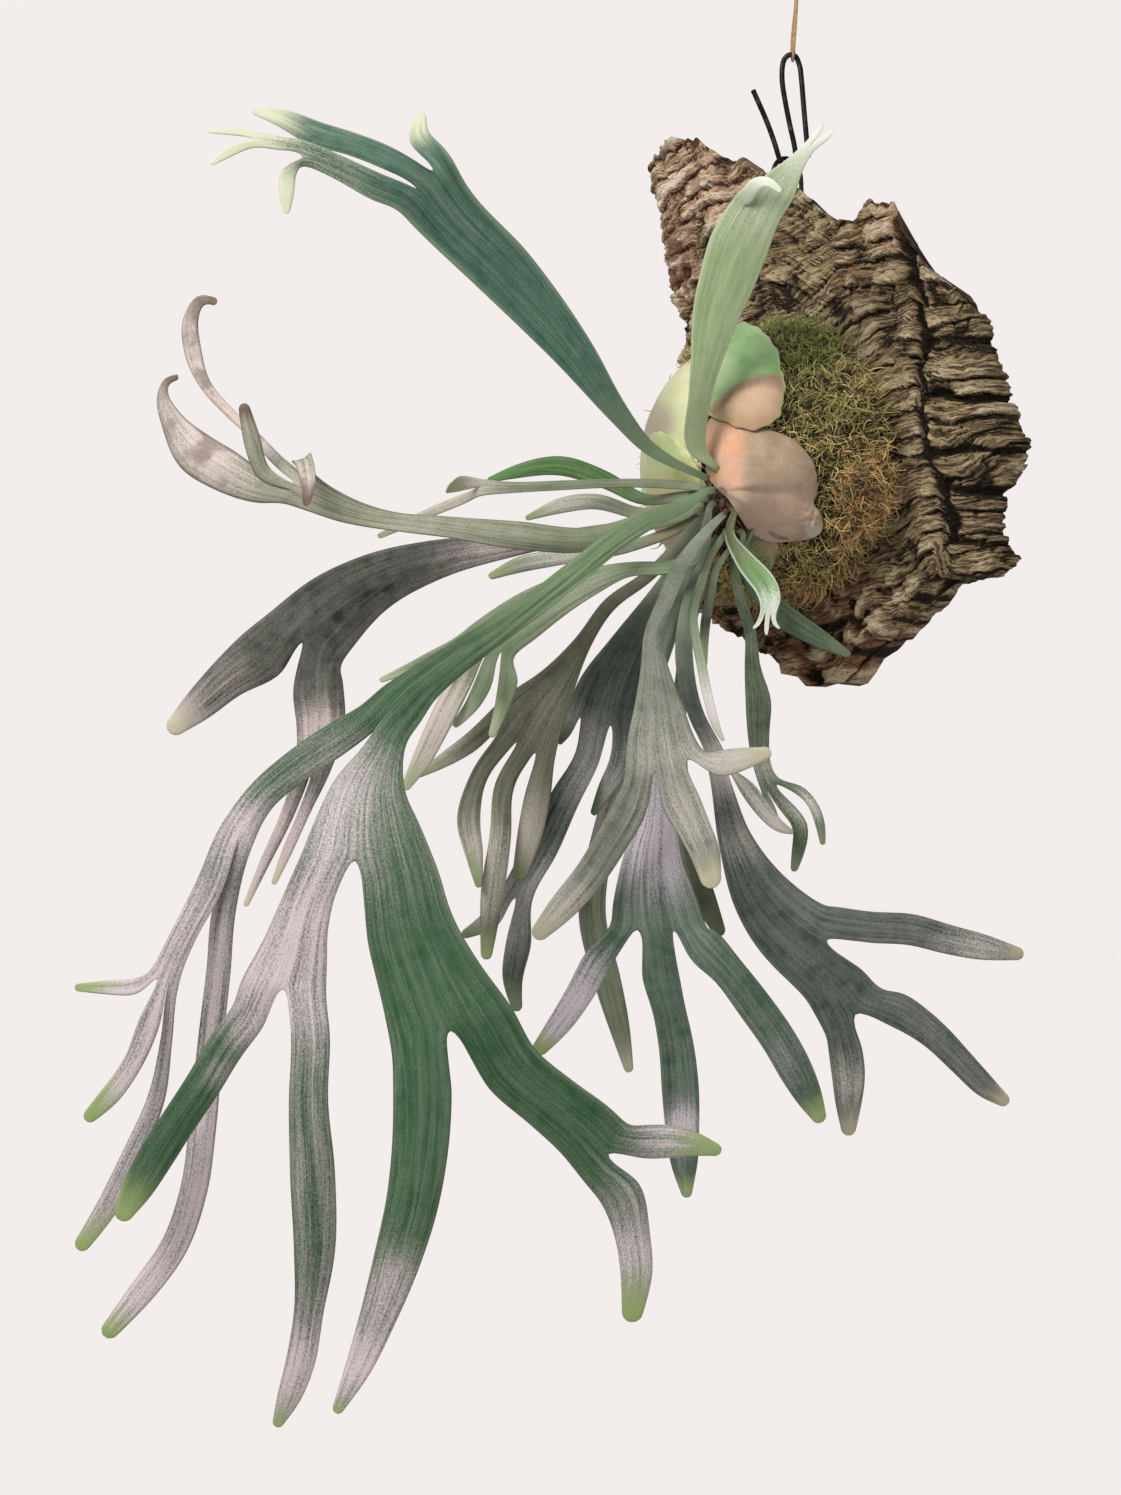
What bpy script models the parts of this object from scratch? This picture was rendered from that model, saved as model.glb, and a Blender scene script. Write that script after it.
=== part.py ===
"""A staghorn fern mounted on a slab of cork bark, hung from an S-hook.

The origin is the crown of the S-hook, where it bears on its twine. +Z is up, the wall lies towards +Y and
the fern grows towards -Y. Antler fronds are set out in millimetres on a drawing plane through the fern's
crown: how far right and up a point is drawn, and how near it lies to the eye that the drawing is made from.
"""

import math

import bmesh
import bpy
import numpy as np
from mathutils import Vector, noise

MM = 0.001
TOUCH_GAP = 0.3 * MM

# Drawing plane: it is turned from the board by VIEW_TURN, and the eye is in front of EYE_RIGHT, EYE_UP.
CROWN = Vector((0.030, -0.095, -0.239))
VIEW_TURN = math.radians(45.0)
EYE_DISTANCE = 1500.0
EYE_RIGHT = -76.0
EYE_UP = -128.0

# Fronds
BLADE_THICKNESS = 0.9 * MM
STEM_THICKNESS = 2.2 * MM
STEM_FADE = 45 * MM
ROW_STEP = 22 * MM
TIP_ROWS = (0.62, 0.96)
SEAT_WIDTH = 3.4 * MM
NECK_LENGTH = 5.0 * MM
LINES_PER_LOBE = 2

# Rhizome tip, in drawing millimetres: centre and half-sizes to the right, up and near
KNOB_CENTRE = (7.0, -8.0, -0.5)
KNOB_SIZE = (10.0, 21.0, 13.0)

# Root ball: a dome on the bark that reaches out along -Y
SEAT_Y = -20 * MM
DOME_CENTRE = Vector((0.010, SEAT_Y, -0.220))
DOME_SIZE = Vector((0.072, 0.070, 0.072))

# Hanger
WIRE = 2.8 * MM
LOOP_WIRE = 2.4 * MM
TWINE = 1.6 * MM


# ---------------------------------------------------------------- drawing plane

AXIS_RIGHT = Vector((math.cos(VIEW_TURN), math.sin(VIEW_TURN), 0.0))
AXIS_NEAR = Vector((math.sin(VIEW_TURN), -math.cos(VIEW_TURN), 0.0))
AXIS_UP = Vector((0.0, 0.0, 1.0))


def eye_scale(near):
    """How much smaller a thing is made when it lies nearer than the drawing plane."""
    return 1.0 - near / EYE_DISTANCE


def drawn(right, up, near):
    """The point seen at right, up on the drawing plane, brought towards the eye by near, all in mm."""
    scale = eye_scale(near)
    right = EYE_RIGHT + (right - EYE_RIGHT) * scale
    up = EYE_UP + (up - EYE_UP) * scale
    return CROWN + (AXIS_RIGHT * right + AXIS_UP * up + AXIS_NEAR * near) * MM


def on_knob(bearing, height):
    """A point of the rhizome tip and its outward direction; bearing 0 faces left, 90 the eye."""
    angle = math.radians(bearing)
    girth = math.sqrt(1.0 - height * height)
    unit = (-math.cos(angle) * girth, height, math.sin(angle) * girth)
    right, up, near = (c + s * k for c, s, k in zip(KNOB_CENTRE, KNOB_SIZE, unit))
    point = CROWN + (AXIS_RIGHT * right + AXIS_UP * up + AXIS_NEAR * near) * MM
    slope = [k / s for s, k in zip(KNOB_SIZE, unit)]
    outward = (AXIS_RIGHT * slope[0] + AXIS_UP * slope[1] + AXIS_NEAR * slope[2]).normalized()
    return point, outward


# ---------------------------------------------------------------- materials and objects


def material(name, colour, roughness, metallic=0.0):
    made = bpy.data.materials.new(name)
    made.use_nodes = True
    shader = made.node_tree.nodes["Principled BSDF"]
    shader.inputs["Base Color"].default_value = (*colour, 1.0)
    shader.inputs["Roughness"].default_value = roughness
    shader.inputs["Metallic"].default_value = metallic
    return made


def add_object(name, data, finish):
    data.materials.append(finish)
    made = bpy.data.objects.new(name, data)
    bpy.context.scene.collection.objects.link(made)
    return made


def mesh_of(name, work, finish):
    mesh = bpy.data.meshes.new(name)
    work.to_mesh(mesh)
    work.free()
    mesh.shade_smooth()
    return add_object(name, mesh, finish)


# ---------------------------------------------------------------- fronds


def blade(path, *lobes, share=1.0):
    """A stretch of frond along stations (right, up, near, width, turn), and the lobes it forks into."""
    return {"path": path, "lobes": lobes, "share": share}


def spread(stretch):
    """Where the lines of a stretch lie across it, from -1 to 1, by the shares of its lobes."""
    if not stretch["lobes"]:
        return np.linspace(-1.0, 1.0, LINES_PER_LOBE + 1)
    total = sum(lobe["share"] for lobe in stretch["lobes"])
    lines = [-1.0]
    start = -1.0
    for lobe in stretch["lobes"]:
        width = 2.0 * lobe["share"] / total
        lines.extend(start + (spread(lobe)[1:] + 1.0) * width / 2.0)
        start += width
    return np.array(lines)


def control_rows(stretch, before):
    """The lines' points at each station, with the row before them if there is one."""
    centres = [drawn(*station[:3]) for station in stretch["path"]]
    widths = [station[3] * eye_scale(station[2]) * MM for station in stretch["path"]]
    turns = [math.radians(station[4]) if len(station) > 4 else 0.0 for station in stretch["path"]]
    across = spread(stretch)
    around = ([before] if before else []) + centres
    offset = len(around) - len(centres)
    if stretch["lobes"]:
        lobe_starts = [drawn(*lobe["path"][0][:3]) for lobe in stretch["lobes"]]
        around.append(sum(lobe_starts, Vector()) / len(lobe_starts))
    rows = []
    kept = None
    for i, centre in enumerate(centres):
        here = i + offset
        ahead = around[min(here + 1, len(around) - 1)]
        behind = around[max(here - 1, 0)]
        along = (ahead - behind).normalized()
        flat = AXIS_NEAR.cross(along).normalized()
        if kept and flat.dot(kept) < 0.0:
            flat.negate()
        kept = flat
        side = flat * math.cos(turns[i]) + along.cross(flat) * math.sin(turns[i])
        rows.append(np.array([centre + side * (u * widths[i] / 2.0) for u in across]))
    return rows


def glide(before, start, end, after, t):
    """A smooth step between two rows of points, by the spacing of the rows round them."""
    gap_a = max(np.linalg.norm(start - before, axis=1).mean(), 1e-6)
    gap_b = max(np.linalg.norm(end - start, axis=1).mean(), 1e-6)
    gap_c = max(np.linalg.norm(after - end, axis=1).mean(), 1e-6)
    out = gap_b * ((start - before) / gap_a * gap_b + (end - start) / gap_b * gap_a) / (gap_a + gap_b)
    into = gap_b * ((end - start) / gap_b * gap_c + (after - end) / gap_c * gap_b) / (gap_b + gap_c)
    t2 = t * t
    t3 = t2 * t
    position = (2 * t3 - 3 * t2 + 1) * start + (3 * t2 - 2 * t3) * end
    return position + (t3 - 2 * t2 + t) * out + (t3 - t2) * into


def lay(stretch, first, before, grid):
    """Adds a stretch's rows to the grid. first is the row that it starts from, shared with its parent."""
    chain = [first] + control_rows(stretch, Vector(first.mean(axis=0)))
    starts = first_rows(stretch, chain[-1])
    ahead = joined_rows(starts) if starts else chain[-1]
    bulge = 1.0 - spread(stretch)[:, None] ** 2
    ids = stretch["ids"]
    for i in range(len(chain) - 1):
        start, end = chain[i], chain[i + 1]
        back = before if i == 0 else chain[i - 1]
        after = chain[i + 2] if i + 2 < len(chain) else ahead
        steps = max(1, round(np.linalg.norm(end - start, axis=1).mean() / ROW_STEP))
        rounding = stretch["swing"] if i == 0 else 0.0
        held = rows_at(grid, "bulge", ids) if i == 0 else None
        for s in range(1, steps + 1):
            t = s / steps
            row = glide(back, start, end, after, t) + rounding * (math.sqrt(t) - t)
            across = bulge * np.linalg.norm(row[-1] - row[0])
            ids = add_row(grid, ids, row, across if held is None else held * (1.0 - t) + across * t)
    if not stretch["lobes"]:
        round_tip(grid, ids, chain[-1].mean(axis=0) - chain[-2].mean(axis=0))
    line = 0
    for n, lobe in enumerate(stretch["lobes"]):
        count = len(spread(lobe))
        lobe["ids"] = ids[line : line + count]
        lobe["swing"] = notch_swing(starts, n)
        lay(lobe, chain[-1][line : line + count], chain[-2][line : line + count], grid)
        line += count - 1


def first_rows(stretch, last):
    """The first row of each lobe that a stretch forks into, given the stretch's last row."""
    rows = []
    line = 0
    for lobe in stretch["lobes"]:
        count = len(spread(lobe))
        rows.append(control_rows(lobe, Vector(last[line : line + count].mean(axis=0)))[0])
        line += count - 1
    return rows


def joined_rows(rows):
    """The lobes' first rows as one, each line that two of them share lying midway."""
    joined = list(rows[0])
    for row in rows[1:]:
        joined[-1] = (joined[-1] + row[0]) / 2.0
        joined.extend(row[1:])
    return np.array(joined)


def notch_swing(rows, n):
    """How far each line of lobe n swings out early after a fork, so that the notch is round."""
    across = np.linspace(0.0, 1.0, len(rows[n]))[:, None]
    swing = np.zeros_like(rows[n])
    if n > 0:
        swing += (1.0 - across) ** 2 * (rows[n][0] - rows[n - 1][-1]) / 2.0
    if n < len(rows) - 1:
        swing += across**2 * (rows[n][-1] - rows[n + 1][0]) / 2.0
    return swing


def rows_at(grid, key, ids):
    return np.array([grid[key][i] for i in ids])


def add_row(grid, below, row, bulge):
    """One more row of points, joined to the row below it, with how far each may leave the edges' level."""
    ids = list(range(len(grid["points"]), len(grid["points"]) + len(row)))
    reach = grid["reach"][below[0]] + np.linalg.norm(row - rows_at(grid, "points", below), axis=1).mean()
    grid["points"].extend(row)
    grid["bulge"].extend(bulge)
    grid["reach"].extend([reach] * len(row))
    for k in range(len(row) - 1):
        grid["quads"].append((below[k + 1], below[k], ids[k], ids[k + 1]))
    return ids


def round_tip(grid, last, along):
    row = rows_at(grid, "points", last)
    bulge = rows_at(grid, "bulge", last)
    centre = row.mean(axis=0)
    forward = along / np.linalg.norm(along) * np.linalg.norm(row[-1] - row[0]) / 2.0
    for turn in TIP_ROWS:
        narrow = math.sqrt(1.0 - turn * turn)
        last = add_row(grid, last, centre + (row - centre) * narrow + forward * turn, bulge * narrow)


def sheet_of(grid, cup):
    """The grid as triangles, with the middle of each lobe raised towards the eye by cup times its width."""
    work = bmesh.new()
    points = [work.verts.new(p) for p in grid["points"]]
    for a, b, c, d in grid["quads"]:
        work.faces.new((points[a], points[b], points[c]))
        work.faces.new((points[a], points[c], points[d]))
    work.normal_update()
    normals = [point.normal.copy() for point in points]
    for point, normal, bulge in zip(points, normals, grid["bulge"]):
        point.co += normal * (cup * bulge[0])
    return work


def frond(name, finish, seat, tree, cup=0.06, thickness=BLADE_THICKNESS):
    """A whole antler frond from its seat on the rhizome tip, as one closed solid."""
    point, outward = on_knob(*seat)
    start = point + outward * (TOUCH_GAP + 0.2 * MM)
    along = (drawn(*tree["path"][0][:3]) - start).normalized()
    flat = AXIS_NEAR.cross((along + outward).normalized())
    if flat.length < 0.3:
        flat = AXIS_UP.cross(outward)
    flat = (flat - outward * flat.dot(outward)).normalized()
    width = SEAT_WIDTH
    row = np.array([start + flat * (u * width / 2.0) for u in spread(tree)])
    flat_row = np.zeros((len(row), 1))
    grid = {"points": list(row), "bulge": list(flat_row), "reach": [0.0] * len(row), "quads": []}
    neck = row + np.array(outward * NECK_LENGTH)
    tree["ids"] = add_row(grid, list(range(len(row))), neck, flat_row)
    tree["swing"] = 0.0
    lay(tree, neck, row, grid)
    made = mesh_of(name, sheet_of(grid, cup), finish)
    group = made.vertex_groups.new(name="thickness")
    for i, reach in enumerate(grid["reach"]):
        extra = (STEM_THICKNESS - thickness) * math.exp(-((reach / STEM_FADE) ** 2))
        group.add([i], (thickness + extra) / STEM_THICKNESS, "REPLACE")
    wall = made.modifiers.new("Thickness", "SOLIDIFY")
    wall.thickness = STEM_THICKNESS
    wall.offset = 0.0
    wall.vertex_group = group.name
    return made


def build_fronds(finish):
    """Each frond: where it sits on the rhizome tip, then its stretches and lobes, in drawing mm."""
    made = []

    def grow(name, seat, tree, **more):
        made.append(frond("frond_" + name, finish, seat, tree, **more))

    grow("upper_left", (16, 0.64), blade(
        [(-32, 22, 4, 7), (-47, 39, 10, 11), (-68, 68, 16, 20), (-102, 108, 24, 30), (-136, 143, 32, 34),
         (-144, 154, 36, 38)],
        blade([(-147, 178, 24, 11), (-146, 187, 14, 6)], share=0.30),
        blade([(-163, 167, 38, 12), (-181, 174, 34, 12), (-199, 179, 26, 13), (-216, 187, 22, 9),
               (-228, 190, 20, 4)], share=0.32),
        blade([(-167, 152, 38, 14), (-189, 163, 42, 12), (-204, 169, 46, 13)],
              blade([(-217, 174, 47, 7), (-229, 176, 47, 8)],
                    blade([(-239, 180, 46, 4), (-251, 180, 44, 2)]),
                    blade([(-240, 171, 48, 6), (-250, 164, 50, 2)]), share=0.6),
              blade([(-212, 159, 54, 8), (-213, 149, 56, 8), (-213, 141, 56, 4)], share=0.4), share=0.38),
    ))
    grow("upright", (58, 0.78), blade(
        [(-6, 18, 8, 8.5), (-6, 49, 12, 12), (-3, 66, 14, 16), (1, 86, 18, 23), (7, 105, 22, 28),
         (14, 125, 27, 30), (22, 141, 31, 26)],
        blade([(33, 152, 33, 19), (41, 163, 36, 10), (49, 173, 38, 6)],
              blade([(57, 177, 39, 3), (60, 180, 39, 1.6)]), blade([(53, 180, 39, 3), (55, 184, 39, 1.6)]),
              share=0.7),
        blade([(18, 149, 37, 8), (22, 154, 42, 7), (28, 155, 45, 5), (33, 151, 45, 3)], share=0.3),
    ))
    grow("curled_left", (36, 0.16), blade(
        [(-30, -13, 12, 7), (-62, -24, 18, 12), (-97, -22, 22, 14), (-132, -18, 24, 12, 25),
         (-166, -14, 26, 12, 30), (-184, -9, 27, 14, 15), (-201, -1, 28, 18), (-208, 3, 28, 22)],
        blade([(-206, 16, 32, 10), (-205, 17, 40, 10), (-203, 11, 47, 9), (-202, 2, 50, 7),
               (-203, -5, 50, 4)], share=0.8),
        blade([(-219, 17, 20, 6), (-228, 27, 14, 5), (-241, 39, 10, 5), (-254, 54, 8, 6), (-260, 71, 6, 9),
               (-261, 86, 8, 8), (-256, 96, 12, 6), (-249, 95, 17, 4)]),
        blade([(-225, 10, 30, 8), (-230, 25, 34, 9), (-234, 41, 36, 6)], share=0.8),
        blade([(-225, 1, 28, 15), (-243, 10, 28, 22), (-259, 20, 27, 22), (-270, 35, 26, 12),
               (-275, 48, 28, 6), (-273, 55, 32, 4), (-268, 57, 36, 3)], share=1.4),
    ), cup=0.14)
    grow("rolled_tip", (16, 0.40), blade(
        [(-14, 3, -2, 4.2), (-30, 4, -6, 4.5), (-52, 4, -8, 4.5), (-77, 3, -8, 5), (-102, 2, -8, 6),
         (-117, 2, -8, 9)],
        blade([(-127, 4, -3, 9, -30), (-131, 2, 3, 7, -60)]),
        blade([(-123, -3, -14, 5), (-140, -10, -18, 5), (-155, -17, -20, 4), (-166, -22, -20, 3)]),
    ))
    grow("arch_green", (-4, 0.30), blade(
        [(-14, -2, -6, 4.5), (-34, -4, -20, 6), (-54, 6, -31, 9), (-77, 13, -37, 10), (-98, 10, -41, 7),
         (-111, 6, -42, 3)]))
    grow("arch_grey", (-4, 0.06), blade(
        [(-14, -8, -8, 4.5), (-36, -11, -16, 6), (-58, -5, -22, 8), (-76, -7, -28, 8), (-92, -13, -30, 3)]))
    grow("broad_left", (16, -0.06), blade(
        [(-12, -11, -1, 4.5), (-30, -16, -8, 6), (-56, -20, -14, 7), (-97, -27, -24, 10),
         (-138, -34, -32, 20), (-170, -46, -37, 30), (-192, -62, -38, 40), (-204, -74, -38, 45)],
        blade([(-224, -80, -40, 28), (-243, -94, -42, 21), (-258, -108, -42, 16), (-268, -117, -40, 10)]),
        blade([(-197, -96, -34, 25), (-196, -119, -31, 24), (-199, -135, -30, 19)],
              blade([(-212, -160, -30, 7), (-225, -188, -30, 5), (-233, -206, -30, 3)]),
              blade([(-204, -160, -26, 6), (-214, -183, -24, 5), (-219, -195, -24, 3)])),
    ), cup=0.09)
    grow("great_front", (58, 0.32), blade(
        [(-12, -6, 18, 6), (-31, -14, 28, 9), (-49, -25, 38, 11), (-68, -40, 50, 12), (-86, -54, 61, 12.5),
         (-104, -67, 72, 13), (-119, -77, 81, 15), (-133, -87, 89, 17), (-147, -98, 96, 21),
         (-155, -106, 100, 26)],
        blade([(-171, -112, 103, 14), (-187, -123, 104, 17), (-206, -136, 106, 17),
               (-226, -153, 108, 16), (-238, -172, 108, 19)],
              blade([(-251, -196, 108, 14), (-265, -223, 106, 13), (-274, -243, 102, 16)],
                    blade([(-287, -247, 100, 8), (-303, -248, 98, 7), (-317, -248, 96, 4)]),
                    blade([(-281, -264, 100, 11), (-290, -286, 96, 10), (-303, -304, 92, 10),
                           (-311, -312, 90, 7)]),
                    blade([(-273, -274, 94, 6), (-278, -303, 88, 9), (-290, -332, 84, 11),
                           (-304, -360, 80, 11), (-315, -376, 78, 8)])),
              blade([(-244, -208, 102, 12), (-247, -240, 96, 12.5), (-251, -275, 90, 13),
                     (-255, -318, 84, 14), (-259, -348, 80, 14), (-269, -377, 76, 14),
                     (-286, -401, 72, 13), (-301, -419, 70, 9)], share=0.7), share=0.8),
        blade([(-160, -121, 108, 17), (-165, -132, 114, 22), (-171, -147, 121, 36),
               (-173, -166, 129, 53), (-172, -184, 134, 68)],
              blade([(-203, -207, 132, 26), (-210, -234, 129, 36), (-214, -247, 127, 43)],
                    blade([(-232, -262, 122, 19), (-243, -277, 118, 19), (-255, -297, 112, 18.5),
                           (-267, -315, 106, 18), (-279, -334, 101, 18), (-289, -351, 98, 15),
                           (-294, -360, 97, 10)]),
                    blade([(-201, -274, 128, 20), (-202, -303, 128, 20), (-200, -341, 126, 23),
                           (-199, -380, 122, 21), (-202, -411, 118, 15), (-206, -435, 114, 15),
                           (-213, -456, 110, 11), (-217, -465, 109, 6)]), share=0.68),
              blade([(-151, -219, 140, 45), (-140, -248, 144, 54), (-131, -268, 146, 64)],
                    blade([(-145, -299, 150, 30), (-146, -326, 153, 29), (-150, -355, 154, 27),
                           (-158, -385, 152, 24), (-167, -412, 149, 19), (-178, -440, 145, 13),
                           (-187, -458, 143, 6)]),
                    blade([(-100, -289, 142, 31), (-80, -306, 138, 31), (-62, -321, 134, 34),
                           (-54, -330, 132, 36)],
                          blade([(-46, -351, 130, 22), (-40, -372, 126, 18), (-38, -393, 122, 16),
                                 (-40, -410, 119, 11)]),
                          blade([(-36, -325, 130, 17), (-22, -325, 128, 17), (-10, -326, 126, 13),
                                 (1, -329, 124, 7)]))), share=1.1),
    ))
    grow("twisted_sage", (60, 0.04), blade(
        [(-3, -20, 18, 6), (-8, -33, 22, 8, 30), (-22, -38, 24, 9, 40), (-42, -39, 24, 9, 30),
         (-58, -44, 22, 13), (-76, -52, 20, 19), (-94, -63, 19, 24), (-110, -75, 18, 27)],
        blade([(-126, -76, 18, 8), (-140, -83, 18, 7), (-153, -89, 17, 5), (-165, -94, 16, 3)], share=0.7),
        blade([(-126, -95, 18, 12), (-137, -117, 17, 12), (-147, -137, 14, 9), (-153, -147, 12, 5)]),
        blade([(-115, -97, 18, 9), (-121, -108, 15, 7), (-128, -116, 12, 4)], share=0.7),
        blade([(-102, -94, 18, 10), (-106, -110, 14, 7), (-110, -121, 12, 4)], share=0.9),
    ))
    grow("olive_fan", (36, -0.26), blade(
        [(-17, -27, 6, 5.5), (-33, -43, 5, 6), (-51, -56, 2, 7), (-65, -76, -2, 9), (-78, -96, -4, 20),
         (-90, -112, -5, 34), (-97, -124, -6, 42)],
        blade([(-119, -124, -7, 10), (-132, -133, -10, 8), (-146, -141, -12, 4)]),
        blade([(-117, -143, -7, 9), (-122, -165, -4, 12), (-119, -182, 0, 9), (-117, -196, 1, 4)]),
        blade([(-104, -147, -7, 10), (-106, -172, -4, 11), (-110, -200, -4, 12), (-113, -231, -4, 6)]),
        blade([(-87, -150, -8, 13), (-91, -170, -12, 13), (-96, -190, -14, 8)]),
    ), cup=0.10)
    grow("dark_teal", (16, -0.42), blade(
        [(-13, -30, -4, 6), (-27, -52, -8, 10), (-42, -78, -14, 20), (-53, -101, -18, 31),
         (-56, -114, -20, 35)],
        blade([(-73, -120, -20, 6), (-76, -125, -20, 3)], share=0.5),
        blade([(-63, -134, -20, 13), (-73, -152, -16, 15), (-85, -177, -18, 17), (-98, -202, -18, 17)],
              blade([(-112, -215, -20, 10), (-123, -221, -20, 5)]),
              blade([(-97, -226, -22, 13), (-100, -245, -24, 10), (-98, -257, -25, 6)])),
        blade([(-45, -132, -20, 12), (-54, -150, -26, 8), (-59, -160, -27, 4)], share=0.8),
    ))
    grow("front_centre", (80, -0.22), blade(
        [(-8, -26, 30, 6), (-17, -40, 38, 9, 20), (-24, -56, 46, 9, 20), (-30, -72, 52, 9),
         (-29, -88, 58, 14), (-27, -108, 64, 25), (-26, -124, 68, 34), (-24, -137, 70, 43)],
        blade([(-40, -155, 68, 17), (-50, -174, 66, 17), (-63, -194, 60, 16), (-76, -209, 56, 14),
               (-86, -220, 54, 9)]),
        blade([(-16, -155, 72, 20), (-9, -169, 73, 17), (-3, -183, 74, 15), (-1, -193, 74, 11)]),
        blade([(4, -136, 74, 14), (14, -134, 76, 12), (26, -131, 78, 7)], share=0.6),
    ))
    grow("lower_centre", (36, -0.52), blade(
        [(-11, -36, 5, 5), (-24, -76, 13, 6), (-28, -106, 22, 8), (-27, -136, 31, 12),
         (-27, -160, 40, 18), (-30, -184, 44, 30), (-29, -204, 46, 42), (-27, -218, 48, 49)],
        blade([(-57, -234, 46, 15), (-67, -252, 43, 14), (-77, -267, 40, 12), (-86, -278, 38, 8)],
              share=0.8),
        blade([(-26, -242, 48, 19), (-22, -258, 48, 17), (-18, -278, 46, 18), (-16, -300, 44, 19),
               (-15, -320, 42, 17), (-14, -338, 40, 13), (-13, -350, 39, 6)]),
        blade([(-6, -225, 52, 19), (8, -240, 54, 17), (21, -257, 54, 18), (33, -274, 54, 18),
               (43, -292, 52, 17), (50, -306, 50, 12), (53, -312, 49, 8)]),
    ))
    grow("lower_right", (58, -0.7), blade(
        [(-5, -36, 10, 4.6), (-12, -56, 16, 7), (-14, -86, 24, 9), (-8, -112, 30, 8), (0, -128, 34, 9),
         (4, -140, 38, 12)],
        blade([(12, -176, 42, 18), (24, -201, 44, 30), (42, -221, 46, 40), (53, -229, 46, 47)],
              blade([(63, -250, 44, 33), (70, -260, 43, 36)],
                    blade([(66, -277, 40, 17), (68, -292, 38, 17), (68, -307, 37, 13), (68, -318, 36, 8)]),
                    blade([(92, -259, 46, 18), (110, -271, 47, 15), (126, -287, 48, 13),
                           (138, -299, 48, 11), (145, -304, 48, 7)])),
              blade([(80, -218, 48, 16), (99, -219, 50, 16), (118, -224, 52, 15), (136, -228, 54, 13),
                     (152, -231, 56, 7)], share=0.6)),
        blade([(17, -148, 41, 8), (26, -160, 48, 8), (34, -168, 52, 6), (39, -170, 53, 3)], share=0.3),
    ))
    grow("strap_pale", (86, -0.56), blade(
        [(0, -30, 16, 4), (-5, -44, 23, 4.6), (-10, -62, 34, 5), (-6, -84, 38, 5), (-2, -104, 42, 5),
         (2, -118, 44, 4), (5, -124, 45, 2)]))
    grow("strap_dark", (100, -0.76), blade(
        [(2, -38, 17, 4), (-1, -52, 21, 5), (-4, -70, 25, 5), (-4, -86, 26, 3)]))
    grow("drooping_right", (122, -0.56), blade(
        [(11, -34, 9, 4.6), (14, -54, 13, 5.5), (19, -70, 18, 6), (20, -88, 21, 8), (23, -105, 23, 13),
         (23, -121, 24, 11), (25, -138, 24, 9), (29, -147, 24, 11)],
        blade([(29, -157, 24, 4), (32, -163, 23, 2)], share=0.5),
        blade([(37, -158, 25, 7), (44, -167, 27, 8), (43, -179, 26, 7), (41, -188, 25, 4)]),
        blade([(43, -149, 26, 5), (50, -156, 30, 5), (54, -167, 30, 5), (55, -175, 29, 3)], share=0.6),
    ))
    grow("young_bright", (102, -0.08), blade(
        [(8, -21, 18, 5), (13, -30, 20, 8), (19, -38, 24, 11), (26, -46, 28, 12), (29, -54, 30, 11),
         (28, -60, 30, 8)],
        blade([(23, -66, 30, 2.4), (21, -68, 30, 1.5)]), blade([(27, -69, 30, 2.4), (27, -71, 30, 1.5)]),
        blade([(31, -66, 30, 2.4), (33, -68, 30, 1.5)])), cup=-0.12)
    grow("lance_dark", (146, -0.34), blade(
        [(12, -36, 4, 5), (22, -50, 8, 7), (34, -61, 10, 12), (46, -69, 12, 11), (58, -76, 12, 8),
         (67, -81, 12, 4)]))
    grow("inner_arch", (-4, -0.18), blade(
        [(-13, -16, -6, 4.5), (-40, -27, -12, 6), (-77, -33, -20, 8), (-98, -37, -22, 8),
         (-110, -42, -22, 4)]))
    grow("behind_centre", (16, -0.74), blade(
        [(-4, -38, 2, 4.5), (-12, -70, 4, 6), (-17, -120, 6, 8), (-16, -155, 10, 11), (-11, -184, 12, 12),
         (-4, -204, 12, 12), (3, -219, 12, 7)]))
    grow("behind_left", (-4, -0.52), blade(
        [(-8, -34, -7, 4.5), (-20, -70, -18, 6), (-38, -120, -36, 8), (-54, -170, -44, 12),
         (-60, -214, -44, 14), (-53, -243, -44, 14), (-46, -270, -42, 10), (-42, -288, -40, 5)]))
    return made


# ---------------------------------------------------------------- cork bark

# Outline of the slab, seen square on: X against Z for its top and bottom edges, Z against X for its sides.
BARK_TOP = ((-100, -50), (-91, -42), (-78, -42), (-66, -37), (-48, -40), (-36, -50), (-14, -58), (0, -65),
            (22, -77), (38, -88), (50, -98), (58, -99), (64, -90), (74, -86), (81, -89), (86, -100),
            (91, -114), (98, -122), (112, -132), (124, -141), (132, -153), (140, -168))
BARK_BOTTOM = ((-94, -268), (-70, -286), (-50, -294), (-34, -303), (-20, -308), (3, -319), (20, -330),
               (32, -336), (43, -333), (52, -322), (66, -313), (80, -304), (93, -294), (101, -284),
               (118, -281), (136, -280))
BARK_LEFT = ((-335, -86), (-290, -88), (-250, -82), (-200, -78), (-138, -76), (-118, -84), (-81, -88),
             (-55, -98), (-34, -94))
BARK_RIGHT = ((-335, 112), (-290, 124), (-272, 138), (-258, 124), (-240, 126), (-214, 138), (-196, 130),
              (-160, 124), (-130, 118), (-34, 108))
BARK_REAR_TOP = ((-100, -64), (-60, -54), (-20, -66), (0, -74), (20, -92), (61, -116), (85, -126),
                 (106, -138), (119, -160), (134, -186))
BARK_FRONT = -20
BARK_EDGE_THICKNESS = 32
BARK_SWELL = 18
BARK_BOW = 8.0
BARK_HALF_WIDTH = 110.0
BARK_COLUMNS = 42
BARK_ROWS = 32
PLATE_HEIGHT = 15.0
PLATE_RISE = 3.6
PLATE_TILT = 0.10
COLUMNS = ((114.0, 18.0, 8.0), (-82.0, 16.0, 6.0))
FISSURE_WIDTH = 4.5
FISSURE_DEPTH = 9.0
FISSURE = ((-100, 82), (-130, 94), (-165, 100), (-196, 97), (-222, 102), (-240, 110), (-262, 114))


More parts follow.
